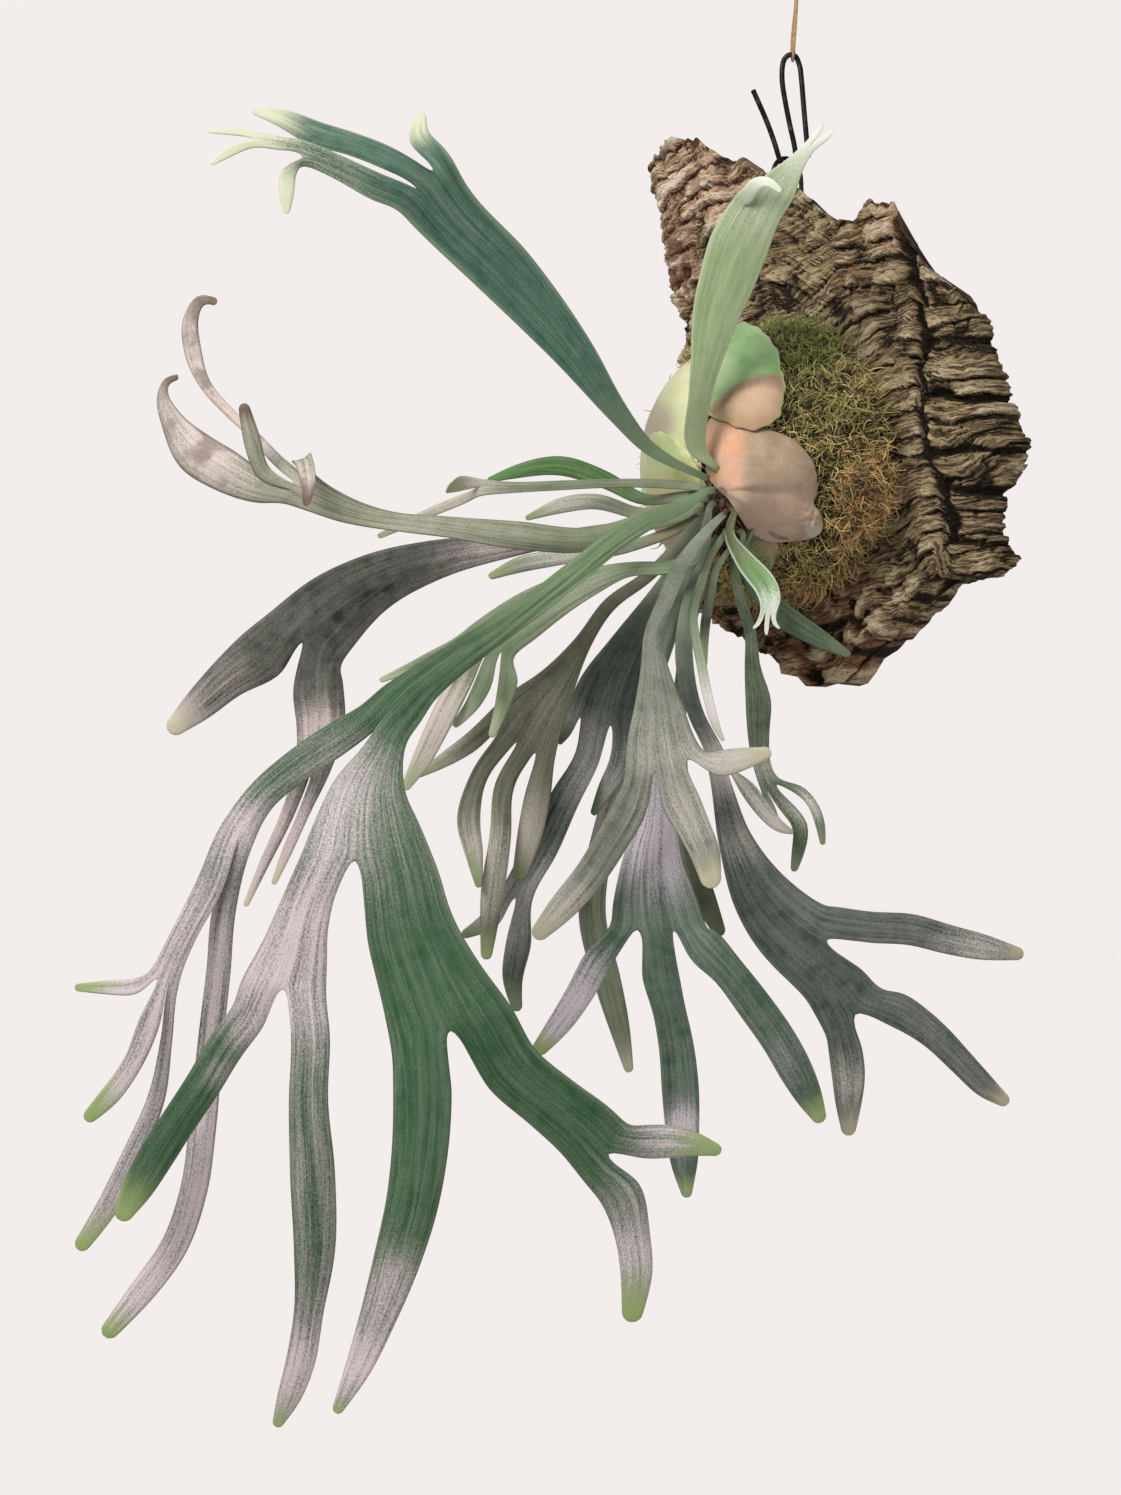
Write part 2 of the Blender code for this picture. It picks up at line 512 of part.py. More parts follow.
def read_off(points, at):
    """The value of a hand-drawn outline at one place along it."""
    return float(np.interp(at, [p[0] for p in points], [p[1] for p in points]))


def relief(x, z):
    """How far the bark's front stands out, in mm, at x, z: stacked plates, columns and a deep fissure."""
    warp = noise.noise((x * 0.02, z * 0.02, 3.0)) * 9.0
    layer = (z + x * PLATE_TILT + warp) / PLATE_HEIGHT
    step = layer - math.floor(layer)
    plates = PLATE_RISE * (step**0.6) * (0.6 + 0.4 * noise.noise((x * 0.05, math.floor(layer) * 7.1, 0.0)))
    column = sum(rise * math.exp(-(((x - at) / width) ** 2)) for at, width, rise in COLUMNS)
    rough = 5.0 * noise.noise((x * 0.035, z * 0.035, 9.0)) + 2.0 * noise.noise((x * 0.11, z * 0.11, 1.0))
    away = (x - read_off(FISSURE[::-1], z)) / FISSURE_WIDTH
    deep = FISSURE[-1][0] - 6 < z < FISSURE[0][0] + 4
    fissure = FISSURE_DEPTH * math.exp(-away * away) * (1.0 if deep else 0.3)
    return plates + column + rough - fissure


def seat_mask(x, z):
    """0 where the root ball sits on the bark, 1 clear of it."""
    across = (x * MM - DOME_CENTRE.x) / (DOME_SIZE.x + 7 * MM)
    up = (z * MM - DOME_CENTRE.z) / (DOME_SIZE.z + 7 * MM)
    return min(1.0, max(0.0, (math.hypot(across, up) - 1.0) / 0.22))


def bark_height(x, level, rear):
    """Z at x, level up the slab, on its front (rear 0) or its back (rear 1)."""
    top = read_off(BARK_TOP, x) * (1.0 - rear) + read_off(BARK_REAR_TOP, x) * rear
    return read_off(BARK_BOTTOM, x) * (1.0 - level) + top * level


def bark_side(edge, level):
    """X of the slab's left or right edge, level up it."""
    x = 0.0
    for _ in range(8):
        x = read_off(edge, bark_height(x, level, 0.5))
    return x


def bark_point(turn, level):
    """A point of the slab's skin: turn goes once round its section from the left edge, level up it."""
    angle = 2.0 * math.pi * turn
    side = -math.copysign(abs(math.cos(angle)) ** 0.6, math.cos(angle))
    depth = -math.copysign(abs(math.sin(angle)) ** 0.8, math.sin(angle))
    rear = (1.0 + depth) / 2.0
    left = bark_side(BARK_LEFT, level)
    right = bark_side(BARK_RIGHT, level)
    x = (left + right) / 2.0 + side * (right - left) / 2.0
    z = bark_height(x, level, rear)
    thickness = BARK_EDGE_THICKNESS + BARK_SWELL * math.sin(math.pi * level)
    bow = BARK_BOW * (x / BARK_HALF_WIDTH) ** 2
    y = BARK_FRONT + bow + rear * thickness
    if depth < 0.0:
        y -= relief(x, z) * seat_mask(x, z) * min(1.0, -depth * 1.3)
    else:
        y += noise.noise((x * 0.03, z * 0.03, 20.0)) * 3.0 * depth
    layer = (z + noise.noise((0.0, z * 0.04, 5.0)) * 6.0) / PLATE_HEIGHT
    x += side**5 * (1.0 - abs(depth)) * 5.0 * (layer - math.floor(layer)) ** 0.6
    return Vector((x, y, z)) * MM


def build_bark(finish):
    work = bmesh.new()
    rings = []
    for row in range(BARK_ROWS + 1):
        level = row / BARK_ROWS
        rings.append([work.verts.new(bark_point(k / BARK_COLUMNS, level)) for k in range(BARK_COLUMNS)])
    for low, high in zip(rings, rings[1:]):
        for k in range(BARK_COLUMNS):
            after = (k + 1) % BARK_COLUMNS
            work.faces.new((low[k], low[after], high[after], high[k]))
    for ring in (rings[0], rings[-1]):
        close_ring(work, ring)
    bmesh.ops.recalc_face_normals(work, faces=work.faces)
    bmesh.ops.triangulate(work, faces=work.faces)
    return mesh_of("cork_bark", work, finish)


def close_ring(work, ring):
    """Closes an end of the slab with strips that run from its front to its back."""
    half = len(ring) // 2
    for k in range(half):
        a, b = ring[k], ring[k + 1]
        c, d = ring[-k - 1], ring[-k if k else 0]
        corners = []
        for corner in (a, b, c, d):
            if corner not in corners:
                corners.append(corner)
        if len(corners) > 2:
            work.faces.new(corners)


# ---------------------------------------------------------------- root ball, shields, rhizome tip


def on_dome(azimuth, height, lift):
    """A point of the root ball: azimuth 0 faces out from the board, height runs from -90 to 90 degrees."""
    a = math.radians(azimuth)
    h = math.radians(height)
    unit = Vector((math.cos(h) * math.sin(a), -math.cos(h) * math.cos(a), math.sin(h)))
    size = DOME_SIZE + Vector((lift, lift, lift)) * MM
    return DOME_CENTRE + Vector((unit.x * size.x, unit.y * size.y, unit.z * size.z))


MOSS_SPOKES = 30
MOSS_RINGS = 11


def build_moss(finish):
    """The root ball, a lumpy dome from its crest to its flat seat on the bark."""
    work = bmesh.new()
    crest = work.verts.new(DOME_CENTRE + Vector((0.0, -DOME_SIZE.y, 0.0)))
    rings = []
    for ring in range(1, MOSS_RINGS + 1):
        polar = math.pi / 2.0 * ring / MOSS_RINGS
        rings.append([])
        for spoke in range(MOSS_SPOKES):
            angle = 2.0 * math.pi * spoke / MOSS_SPOKES
            girth = math.sin(polar)
            unit = Vector((girth * math.cos(angle), -math.cos(polar), girth * math.sin(angle)))
            lump = -2.6 * abs(noise.noise(unit * 6.0)) - 1.2 * abs(noise.noise(unit * 15.0))
            place = DOME_CENTRE + Vector([u * size for u, size in zip(unit, DOME_SIZE)])
            place += unit * (lump * MM)
            place.y = min(place.y, SEAT_Y - TOUCH_GAP)
            rings[-1].append(work.verts.new(place))
    for k in range(MOSS_SPOKES):
        after = (k + 1) % MOSS_SPOKES
        work.faces.new((crest, rings[0][k], rings[0][after]))
        for inner, outer in zip(rings, rings[1:]):
            work.faces.new((inner[k], outer[k], outer[after], inner[after]))
    work.faces.new(rings[-1])
    bmesh.ops.recalc_face_normals(work, faces=work.faces)
    bmesh.ops.triangulate(work, faces=work.faces)
    return mesh_of("moss_root_ball", work, finish)


SHIELD_RINGS = 4
SHIELD_SPOKES = 24
SHIELD_THICKNESS = 1.0 * MM
CROWN_CLEARANCE = 0.4


def closed_curve(points, t):
    """A smooth closed curve through a few outline points, t from 0 to 1."""
    count = len(points)
    place = t * count
    i = int(place) % count
    f = place - int(place)
    p0, p1, p2, p3 = (np.array(points[(i + k) % count], float) for k in (-1, 0, 1, 2))
    return 0.5 * (2 * p1 + (p2 - p0) * f + (2 * p0 - 5 * p1 + 4 * p2 - p3) * f * f
                  + (3 * p1 - p0 - 3 * p2 + p3) * f**3)


def shield(name, finish, middle, outline, rim, crest, ribs, scallop=0.0):
    """A shield frond over the root ball: outline in degrees round its middle, lifted rim to crest in mm."""
    work = bmesh.new()

    def place(reach, t):
        edge = closed_curve(outline, t)
        wave = 1.0 + scallop * math.sin(2.0 * math.pi * 9.0 * t) * reach**6
        azimuth = middle[0] + (edge[0] - middle[0]) * reach * wave
        height = middle[1] + (edge[1] - middle[1]) * reach * wave
        lift = rim + (crest - rim) * (1.0 - reach**2.6)
        lift += ribs * math.cos(2.0 * math.pi * 7.0 * t) * reach * (1.0 - reach) * 2.0
        return on_dome(azimuth, height, lift)

    centre = work.verts.new(place(0.0, 0.0))
    rings = []
    for ring in range(1, SHIELD_RINGS + 1):
        reach = math.sin(math.pi / 2.0 * ring / SHIELD_RINGS)
        rings.append([work.verts.new(place(reach, k / SHIELD_SPOKES)) for k in range(SHIELD_SPOKES)])
    for k in range(SHIELD_SPOKES):
        after = (k + 1) % SHIELD_SPOKES
        work.faces.new((centre, rings[0][k], rings[0][after]))
        for inner, outer in zip(rings, rings[1:]):
            work.faces.new((inner[k], outer[k], outer[after]))
            work.faces.new((inner[k], outer[after], inner[after]))
    bmesh.ops.recalc_face_normals(work, faces=work.faces)
    made = mesh_of(name, work, finish)
    wall = made.modifiers.new("Thickness", "SOLIDIFY")
    wall.thickness = SHIELD_THICKNESS
    wall.offset = 0.0
    return made


def knob_body(name, finish, grow):
    """The rhizome tip, grown by grow mm all round."""
    work = bmesh.new()
    bmesh.ops.create_icosphere(work, subdivisions=3, radius=1.0)
    for point in work.verts:
        unit = point.co.normalized()
        right, up, near = (c + (s + grow) * k for c, s, k in zip(KNOB_CENTRE, KNOB_SIZE, unit))
        point.co = CROWN + (AXIS_RIGHT * right + AXIS_UP * up + AXIS_NEAR * near) * MM
    bmesh.ops.recalc_face_normals(work, faces=work.faces)
    return mesh_of(name, work, finish)


def cut(target, cutter):
    """Cuts cutter's shape from target."""
    hole = target.modifiers.new("Cut by " + cutter.name, "BOOLEAN")
    hole.object = cutter
    hole.operation = "DIFFERENCE"
    cutter.hide_render = True
    cutter.display_type = "WIRE"


# ---------------------------------------------------------------- hanger


def smooth_route(points, step):
    """Points a step apart along a smooth curve through a route's own points."""
    fine = []
    count = len(points)
    for i in range(count - 1):
        p0, p1, p2, p3 = (np.array(points[min(max(i + k, 0), count - 1)]) for k in (-1, 0, 1, 2))
        pieces = max(2, round(np.linalg.norm(p2 - p1) / step))
        for s in range(pieces):
            f = s / pieces
            fine.append(0.5 * (2 * p1 + (p2 - p0) * f + (2 * p0 - 5 * p1 + 4 * p2 - p3) * f * f
                               + (3 * p1 - p0 - 3 * p2 + p3) * f**3))
    fine.append(np.array(points[-1]))
    return [Vector(p) for p in fine]


def tube(name, finish, route, diameter, sides):
    curve = bpy.data.curves.new(name, "CURVE")
    curve.dimensions = "3D"
    curve.bevel_depth = diameter / 2.0
    curve.bevel_resolution = sides
    curve.use_fill_caps = True
    spline = curve.splines.new("POLY")
    spline.points.add(len(route) - 1)
    for point, place in zip(spline.points, route):
        point.co = (*place, 1.0)
    return add_object(name, curve, finish)


# The S-hook, the loop and the twine are set out in mm from the hook's crown: right, up, near.
HOOK_ROUTE = ((9, -55, 3), (7, -32, 2), (5.4, -12, 1), (4.6, -6, 0), (2.6, -1.2, 0), (-0.5, -0.2, 0),
              (-3.4, -2.6, 0), (-4.6, -8, 0), (-4.4, -16, 0), (-2.6, -27, 0), (-0.4, -38, 0), (1.6, -47, 0),
              (2.4, -53, 0), (1.4, -57.2, 0), (-1.8, -58.7, 0), (-5.2, -57.2, 0), (-6.8, -53, 0),
              (-8.6, -47, 0), (-13, -35, 0), (-20, -19, 0))
LOOP_ROUTE = ((-10.4, -92, 8), (-10.4, -81, 8), (-10.4, -70, 8), (-9.6, -62, 7.4), (-6.6, -57, 5),
              (-1.8, -55.2, 0), (3.0, -57, -5), (5.6, -62, -7.4), (6.2, -70, -8), (6.2, -81, -8),
              (6.2, -92, -8))
TWINE_ROUTE = ((3.4, 34, 1.3), (2.8, 24, 2.2), (2.0, 12, 3.2), (1.4, 4, 3.6), (1.1, -1.0, 3.1),
               (1.0, -3.4, 0), (0.9, -1.0, -3.1), (0.8, 4, -3.6), (1.2, 12, -3.2), (2.4, 24, -2.1),
               (3.2, 34, -1.3))
KNOT_UP = 37.4
SOCKET_CLEARANCE = 0.6 * MM
SOCKET_DEPTH = 40 * MM


def hung(right, up, near):
    """A point in mm from the hook's crown, along the drawing plane's axes."""
    return (AXIS_RIGHT * right + AXIS_UP * up + AXIS_NEAR * near) * MM


def build_hanger(steel, jute, bark):
    hook = [hung(*p) for p in HOOK_ROUTE]
    loop = [hung(*p) for p in LOOP_ROUTE]
    twine = [hung(*p) for p in TWINE_ROUTE]
    tube("s_hook", steel, smooth_route(hook, 4.5 * MM), WIRE, 2)
    tube("wire_loop", steel, smooth_route(loop, 3.2 * MM), LOOP_WIRE, 2)
    tube("jute_twine", jute, smooth_route(twine, 4.0 * MM), TWINE, 2)
    for n, end in enumerate((loop[0], loop[-1])):
        socket = bmesh.new()
        radius = LOOP_WIRE / 2.0 + SOCKET_CLEARANCE
        bmesh.ops.create_cone(socket, cap_ends=True, segments=10, depth=SOCKET_DEPTH, radius1=radius,
                              radius2=radius)
        up = Vector((0.0, 0.0, SOCKET_DEPTH / 2.0 - TOUCH_GAP))
        bmesh.ops.translate(socket, verts=socket.verts, vec=end + up)
        cut(bark, mesh_of("socket_cutter_%d" % n, socket, steel))
    knot = bmesh.new()
    bmesh.ops.create_icosphere(knot, subdivisions=2, radius=1.0)
    for point in knot.verts:
        unit = point.co.normalized()
        swell = 1.0 + 0.14 * math.sin(unit.y * 7.0 + unit.x * 3.0)
        point.co = hung(3.3 + unit.x * 2.6 * swell, KNOT_UP + unit.y * 3.0, unit.z * 3.4 * swell)
    mesh_of("twine_knot", knot, jute)


# ---------------------------------------------------------------- the whole object

SHIELD_RIGHT = ((4, -12), (10, 2), (24, 12), (38, 12), (48, 4), (52, -10), (54, -26), (44, -36), (26, -34),
                (12, -26))
SHIELD_UPPER = ((2, 6), (-6, 26), (-6, 52), (6, 72), (26, 70), (40, 50), (42, 30), (34, 17), (18, 13))
SHIELD_LEFT = ((6, -8), (2, 20), (-16, 46), (-44, 52), (-66, 30), (-72, 0), (-60, -32), (-34, -46),
               (-8, -34))
SHIELD_YOUNG = ((-2, -8), (-8, 6), (-20, 13), (-34, 9), (-36, -6), (-22, -18), (-8, -18))
SHIELD_LOWER = ((8, -22), (20, -28), (34, -38), (36, -54), (20, -62), (4, -52))


def main():
    for old in list(bpy.data.objects):
        bpy.data.objects.remove(old, do_unlink=True)
    leaf = material("frond green", (0.10, 0.22, 0.13), 0.6)
    tan = material("shield tan", (0.36, 0.24, 0.17), 0.8)
    green = material("shield green", (0.30, 0.42, 0.17), 0.6)
    pale = material("shield pale green", (0.52, 0.54, 0.30), 0.6)
    brown = material("rhizome scales", (0.22, 0.12, 0.06), 0.9)
    moss = material("moss", (0.18, 0.17, 0.05), 0.95)
    cork = material("cork bark", (0.30, 0.22, 0.16), 0.9)
    steel = material("dark steel wire", (0.03, 0.03, 0.035), 0.4, 0.9)
    jute = material("jute", (0.42, 0.28, 0.15), 0.9)

    build_fronds(leaf)
    knob_body("rhizome_crown", brown, 0.0)
    cutter = knob_body("crown_cutter", brown, CROWN_CLEARANCE)
    ball = build_moss(moss)
    cut(ball, cutter)
    shields = (
        shield("shield_left", pale, (-30, 4), SHIELD_LEFT, 1.0, 1.6, 0.0),
        shield("shield_young", green, (-18, -2), SHIELD_YOUNG, 3.2, 3.4, 0.0),
        shield("shield_lower", green, (20, -44), SHIELD_LOWER, 1.0, 1.6, 0.0),
        shield("shield_right", tan, (26, -12), SHIELD_RIGHT, 3.2, 6.0, 0.3),
        shield("shield_upper", green, (14, 40), SHIELD_UPPER, 3.2, 4.2, 0.2, 0.02),
    )
    for made in shields:
        cut(made, cutter)
    bark = build_bark(cork)
    build_hanger(steel, jute, bark)


main()
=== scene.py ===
import math
import random

import bmesh
import bpy
import numpy as np
from mathutils import Matrix, Vector, noise


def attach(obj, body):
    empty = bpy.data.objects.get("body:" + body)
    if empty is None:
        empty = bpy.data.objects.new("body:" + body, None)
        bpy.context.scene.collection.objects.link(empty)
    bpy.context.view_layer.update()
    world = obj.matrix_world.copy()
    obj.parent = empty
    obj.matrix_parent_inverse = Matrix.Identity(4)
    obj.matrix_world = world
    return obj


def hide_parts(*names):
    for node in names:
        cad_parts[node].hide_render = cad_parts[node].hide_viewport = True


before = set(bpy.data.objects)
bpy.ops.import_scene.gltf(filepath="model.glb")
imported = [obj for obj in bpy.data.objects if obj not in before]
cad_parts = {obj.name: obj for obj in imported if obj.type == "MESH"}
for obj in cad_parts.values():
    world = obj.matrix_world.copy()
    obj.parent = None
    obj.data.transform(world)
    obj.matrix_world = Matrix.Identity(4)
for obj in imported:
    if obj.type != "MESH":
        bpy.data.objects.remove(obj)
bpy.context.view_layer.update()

mm = 0.001

# The drawing plane that the fronds are set out on: it passes through the crown of the fern.
plane = {
    "crown": Vector((0.030, -0.095, -0.239)),
    "turn": math.radians(45.0),
    "eyeDistance": 1500.0,
    "eyeRight": -76.0,
    "eyeUp": -128.0,
    "halfHeight": 373.75,
}
rightward = Vector((math.cos(plane["turn"]), math.sin(plane["turn"]), 0.0))
nearward = Vector((math.sin(plane["turn"]), -math.cos(plane["turn"]), 0.0))
upward = Vector((0.0, 0.0, 1.0))


def alongAxes(right, up, near):
    return (rightward * right + upward * up + nearward * near) * mm


def drawn(right, up, near):
    # the point that shows at right, up on the plane when it lies near mm in front of it
    scale = 1.0 - near / plane["eyeDistance"]
    right = plane["eyeRight"] + (right - plane["eyeRight"]) * scale
    up = plane["eyeUp"] + (up - plane["eyeUp"]) * scale
    return plane["crown"] + alongAxes(right, up, near)


def seenAt(point):
    # the reverse: where on the plane a point shows, in mm
    offset = (Vector(point) - plane["crown"]) / mm
    scale = 1.0 - offset.dot(nearward) / plane["eyeDistance"]
    right = plane["eyeRight"] + (offset.dot(rightward) - plane["eyeRight"]) / scale
    up = plane["eyeUp"] + (offset.z - plane["eyeUp"]) / scale
    return right, up


def smooth(low, high, value):
    t = min(1.0, max(0.0, (value - low) / (high - low)))
    return t * t * (3.0 - 2.0 * t)


def between(a, b, c, d, f):
    # a smooth way from b to c that also heeds the points before and after them
    return 0.5 * (2 * b + (c - a) * f + (2 * a - 5 * b + 4 * c - d) * f * f + (3 * b - a - 3 * c + d) * f**3)


def keepMesh(name, work):
    mesh = bpy.data.meshes.new(name)
    work.to_mesh(mesh)
    work.free()
    return mesh


def meshPiece(name, work, finish, node):
    mesh = keepMesh(name, work)
    mesh.shade_smooth()
    return dress(bpy.data.objects.new(name, mesh), finish, node)


def dress(piece, finish, node):
    piece.data.materials.append(finish)
    bpy.context.scene.collection.objects.link(piece)
    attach(piece, "root")
    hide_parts(node)
    return piece


# Camera first, then the twine.
cameraData = bpy.data.cameras.new("camera")
cameraData.sensor_fit = "VERTICAL"
cameraData.angle = 2.0 * math.atan(plane["halfHeight"] / plane["eyeDistance"])
camera = bpy.data.objects.new("camera", cameraData)
camera.location = plane["crown"] + alongAxes(plane["eyeRight"], plane["eyeUp"], plane["eyeDistance"])
camera.rotation_euler = nearward.to_track_quat("Z", "Y").to_euler()
bpy.context.scene.collection.objects.link(camera)
bpy.context.scene.camera = camera


# Node helpers and the effects that several finishes share.
def hue(code):
    # "3e6b55" as a linear colour
    parts = [int(code[i : i + 2], 16) / 255.0 for i in (0, 2, 4)]
    return tuple(c / 12.92 if c <= 0.04045 else ((c + 0.055) / 1.055) ** 2.4 for c in parts) + (1.0,)


def setInputs(tree, node, inputs):
    for key, value in inputs.items():
        if isinstance(value, bpy.types.NodeSocket):
            tree.links.new(value, node.inputs[key])
        else:
            node.inputs[key].default_value = value


def addNode(tree, kind, inputs=None, **settings):
    node = tree.nodes.new("ShaderNode" + kind)
    for key, value in settings.items():
        setattr(node, key, value)
    setInputs(tree, node, inputs or {})
    return node


def newFinish(name):
    # a material, its node tree and the place on the piece
    finish = bpy.data.materials.new(name)
    finish.use_nodes = True
    return finish, finish.node_tree, addNode(finish.node_tree, "TexCoord").outputs["Object"]


def endFinish(tree, colour, height, strength, distance, inputs):
    # the colour, a bump from the height, and what else the shader takes
    bump = addNode(tree, "Bump", {"Strength": strength, "Distance": distance, "Height": height})
    setInputs(tree, tree.nodes["Principled BSDF"],
              dict(inputs, **{"Base Color": colour, "Normal": bump.outputs["Normal"]}))


def measure(tree, label):
    return addNode(tree, "Attribute", attribute_name=label).outputs["Fac"]


def compute(tree, operation, a, b, c=None):
    inputs = {0: a, 1: b} if c is None else {0: a, 1: b, 2: c}
    return addNode(tree, "Math", inputs, operation=operation).outputs[0]


def times(tree, a, b):
    return compute(tree, "MULTIPLY", a, b)


def swayed(tree, base, grain, amount):
    # the base, moved either way by a grain that lies round a half
    return compute(tree, "MULTIPLY_ADD", compute(tree, "SUBTRACT", grain, 0.5), amount, base)


def blendHues(tree, factor, a, b):
    return addNode(tree, "Mix", {0: factor, 6: a, 7: b}, data_type="RGBA").outputs[2]


def ramp(tree, value, low, high):
    found = addNode(tree, "MapRange", {"Value": value, "From Min": low, "From Max": high})
    found.interpolation_type = "SMOOTHSTEP"
    return found.outputs[0]


def grainAt(tree, place, scale, detail=2.0, rough=0.5):
    return addNode(tree, "TexNoise", {"Vector": place, "Scale": scale, "Detail": detail,
                                      "Roughness": rough}).outputs[0]


def scaled(tree, place, size):
    return addNode(tree, "VectorMath", {0: place, 1: size}, operation="MULTIPLY").outputs[0]


def newGroup(name, inputs, outputs):
    group = bpy.data.node_groups.new(name, "ShaderNodeTree")
    for label, kind in inputs:
        group.interface.new_socket(label, in_out="INPUT", socket_type="NodeSocket" + kind)
    for label, kind in outputs:
        group.interface.new_socket(label, in_out="OUTPUT", socket_type="NodeSocket" + kind)
    return group, group.nodes.new("NodeGroupInput"), group.nodes.new("NodeGroupOutput")


def makeFuzz():
    # short pale hairs: a fine speckle that lightens the colour and roughens the surface
    group, given, made = newGroup("fuzz", [("Color", "Color"), ("Place", "Vector"), ("Hair", "Color"),
                                           ("Amount", "Float"), ("Size", "Float")],
                                  [("Color", "Color"), ("Height", "Float")])
    fine = grainAt(group, given.outputs["Place"], given.outputs["Size"], 3.0, 0.7)
    soft = grainAt(group, given.outputs["Place"], 130.0, 2.0)
    speckle = compute(group, "MULTIPLY_ADD", ramp(group, fine, 0.44, 0.66), 0.8, 0.2)
    amount = times(group, times(group, speckle, given.outputs["Amount"]), ramp(group, soft, 0.25, 0.6))
    colour = blendHues(group, amount, given.outputs["Color"], given.outputs["Hair"])
    setInputs(group, made, {"Color": colour, "Height": fine})
    return group


def makeVeins():
    # long parallel streaks and thin veins that follow a leaf, from its own across and along measures
    group, given, made = newGroup("veins", [("Vein", "Float"), ("Along", "Float")],
                                  [("Broad", "Float"), ("Fine", "Float"), ("Lines", "Float")])
    found = {}
    for label, across, along, detail in (("Broad", 230.0, 8.0, 3.0), ("Fine", 1100.0, 24.0, 2.0),
                                         ("Lines", 150.0, 5.0, 1.0)):
        place = addNode(group, "CombineXYZ", {"X": times(group, given.outputs["Vein"], across),
                                              "Y": times(group, given.outputs["Along"], along)})
        found[label] = grainAt(group, place.outputs[0], 1.0, detail, 0.6)
    lines = compute(group, "ABSOLUTE", compute(group, "SUBTRACT", found["Lines"], 0.5), 0.0)
    found["Lines"] = ramp(group, lines, 0.035, 0.004)
    setInputs(group, made, found)
    return group


fuzzGroup = makeFuzz()
veinGroup = makeVeins()


def fuzzed(tree, colour, place, hair, amount, size):
    return addNode(tree, "Group", {"Color": colour, "Place": place, "Hair": hue(hair), "Amount": amount,
                                   "Size": size}, node_tree=fuzzGroup)


# The hanger, set out in mm from the hook's crown: right, up, near.

hanger = {
    "hook": ((9, -55, 3), (7, -32, 2), (5.4, -12, 1), (4.6, -6, 0), (2.6, -1.2, 0), (-0.5, -0.2, 0),
             (-3.4, -2.6, 0), (-4.6, -8, 0), (-4.4, -16, 0), (-2.6, -27, 0), (-0.4, -38, 0), (1.6, -47, 0),
             (2.4, -53, 0), (1.4, -57.2, 0), (-1.8, -58.7, 0), (-5.2, -57.2, 0), (-6.8, -53, 0),
             (-8.6, -47, 0), (-13, -35, 0), (-20, -19, 0)),
    "hookWire": 2.8,
    "loop": ((-10.4, -92, 8), (-10.4, -81, 8), (-10.4, -70, 8), (-9.6, -62, 7.4), (-6.6, -57, 5),
             (-1.8, -55.2, 0), (3.0, -57, -5), (5.6, -62, -7.4), (6.2, -70, -8), (6.2, -81, -8),
             (6.2, -92, -8)),
    "loopWire": 2.4,
    "wireStep": 1.2,
    "twine": ((3.4, 34, 1.3), (2.8, 24, 2.2), (2.0, 12, 3.2), (1.4, 4, 3.6), (1.1, -1.0, 3.1), (1.0, -3.4, 0),
              (0.9, -1.0, -3.1), (0.8, 4, -3.6), (1.2, 12, -3.2), (2.4, 24, -2.1), (3.2, 34, -1.3)),
    "twineWide": 1.6,
    "twineStep": 1.5,
    "knot": (3.3, 37.4, 0.0),
    "knotSize": (2.6, 3.0, 3.4),
}


def smoothRoute(points, step):
    places, count = [], len(points)
    for i in range(count - 1):
        a, b, c, d = (np.array(points[min(max(i + k, 0), count - 1)], float) for k in (-1, 0, 1, 2))
        pieces = max(2, round(np.linalg.norm(c - b) / step))
        for s in range(pieces):
            places.append(between(a, b, c, d, s / pieces))
    return [alongAxes(*p) for p in places] + [alongAxes(*points[-1])]


def wireCurve(name, route, diameter, finish, node):
    curve = bpy.data.curves.new(name, "CURVE")
    curve.dimensions = "3D"
    curve.bevel_depth = diameter / 2.0 * mm
    curve.bevel_resolution = 6
    curve.use_fill_caps = True
    spline = curve.splines.new("POLY")
    spline.points.add(len(route) - 1)
    for point, place in zip(spline.points, route):
        point.co = (*place, 1.0)
    return dress(bpy.data.objects.new(name, curve), finish, node)


def steelFinish():
    finish, tree, place = newFinish("dark steel")
    patches = grainAt(tree, place, 180.0, 4.0, 0.6)
    colour = blendHues(tree, ramp(tree, patches, 0.45, 0.7), hue("1d1e20"), hue("46413c"))
    endFinish(tree, colour, grainAt(tree, place, 900.0, 3.0), 0.2, 0.0003,
              {"Roughness": compute(tree, "MULTIPLY_ADD", patches, 0.4, 0.2), "Metallic": 0.85})
    return finish


def juteFinish():
    finish, tree, place = newFinish("jute fibre")
    strands = grainAt(tree, scaled(tree, place, (2600.0, 2600.0, 500.0)), 1.0, 3.0, 0.6)
    colour = blendHues(tree, ramp(tree, strands, 0.3, 0.7), hue("8a643c"), hue("c9a878"))
    endFinish(tree, colour, strands, 0.5, 0.0003, {"Roughness": 0.9})
    return finish


def buildHanger():
    steel, jute = steelFinish(), juteFinish()
    for part, node in (("hook", "s_hook"), ("loop", "wire_loop")):
        route = smoothRoute(hanger[part], hanger["wireStep"])
        wireCurve(part + "_wire", route, hanger[part + "Wire"], steel, node)
    route = smoothRoute(hanger["twine"], hanger["twineStep"])
    twine = wireCurve("twine_line", route, hanger["twineWide"], jute, "jute_twine")
    (right, up, near), (wide, high, deep) = hanger["knot"], hanger["knotSize"]
    knot = bmesh.new()
    bmesh.ops.create_icosphere(knot, subdivisions=5, radius=1.0)
    for v in knot.verts:
        unit = v.co.normalized()
        swell = 1.0 + 0.14 * math.sin(unit.y * 7.0 + unit.x * 3.0)
        v.co = alongAxes(right + unit.x * wide * swell, up + unit.y * high, near + unit.z * deep * swell)
    tied = meshPiece("twine_tie", knot, jute, "twine_knot")


buildHanger()
print("hanger done")


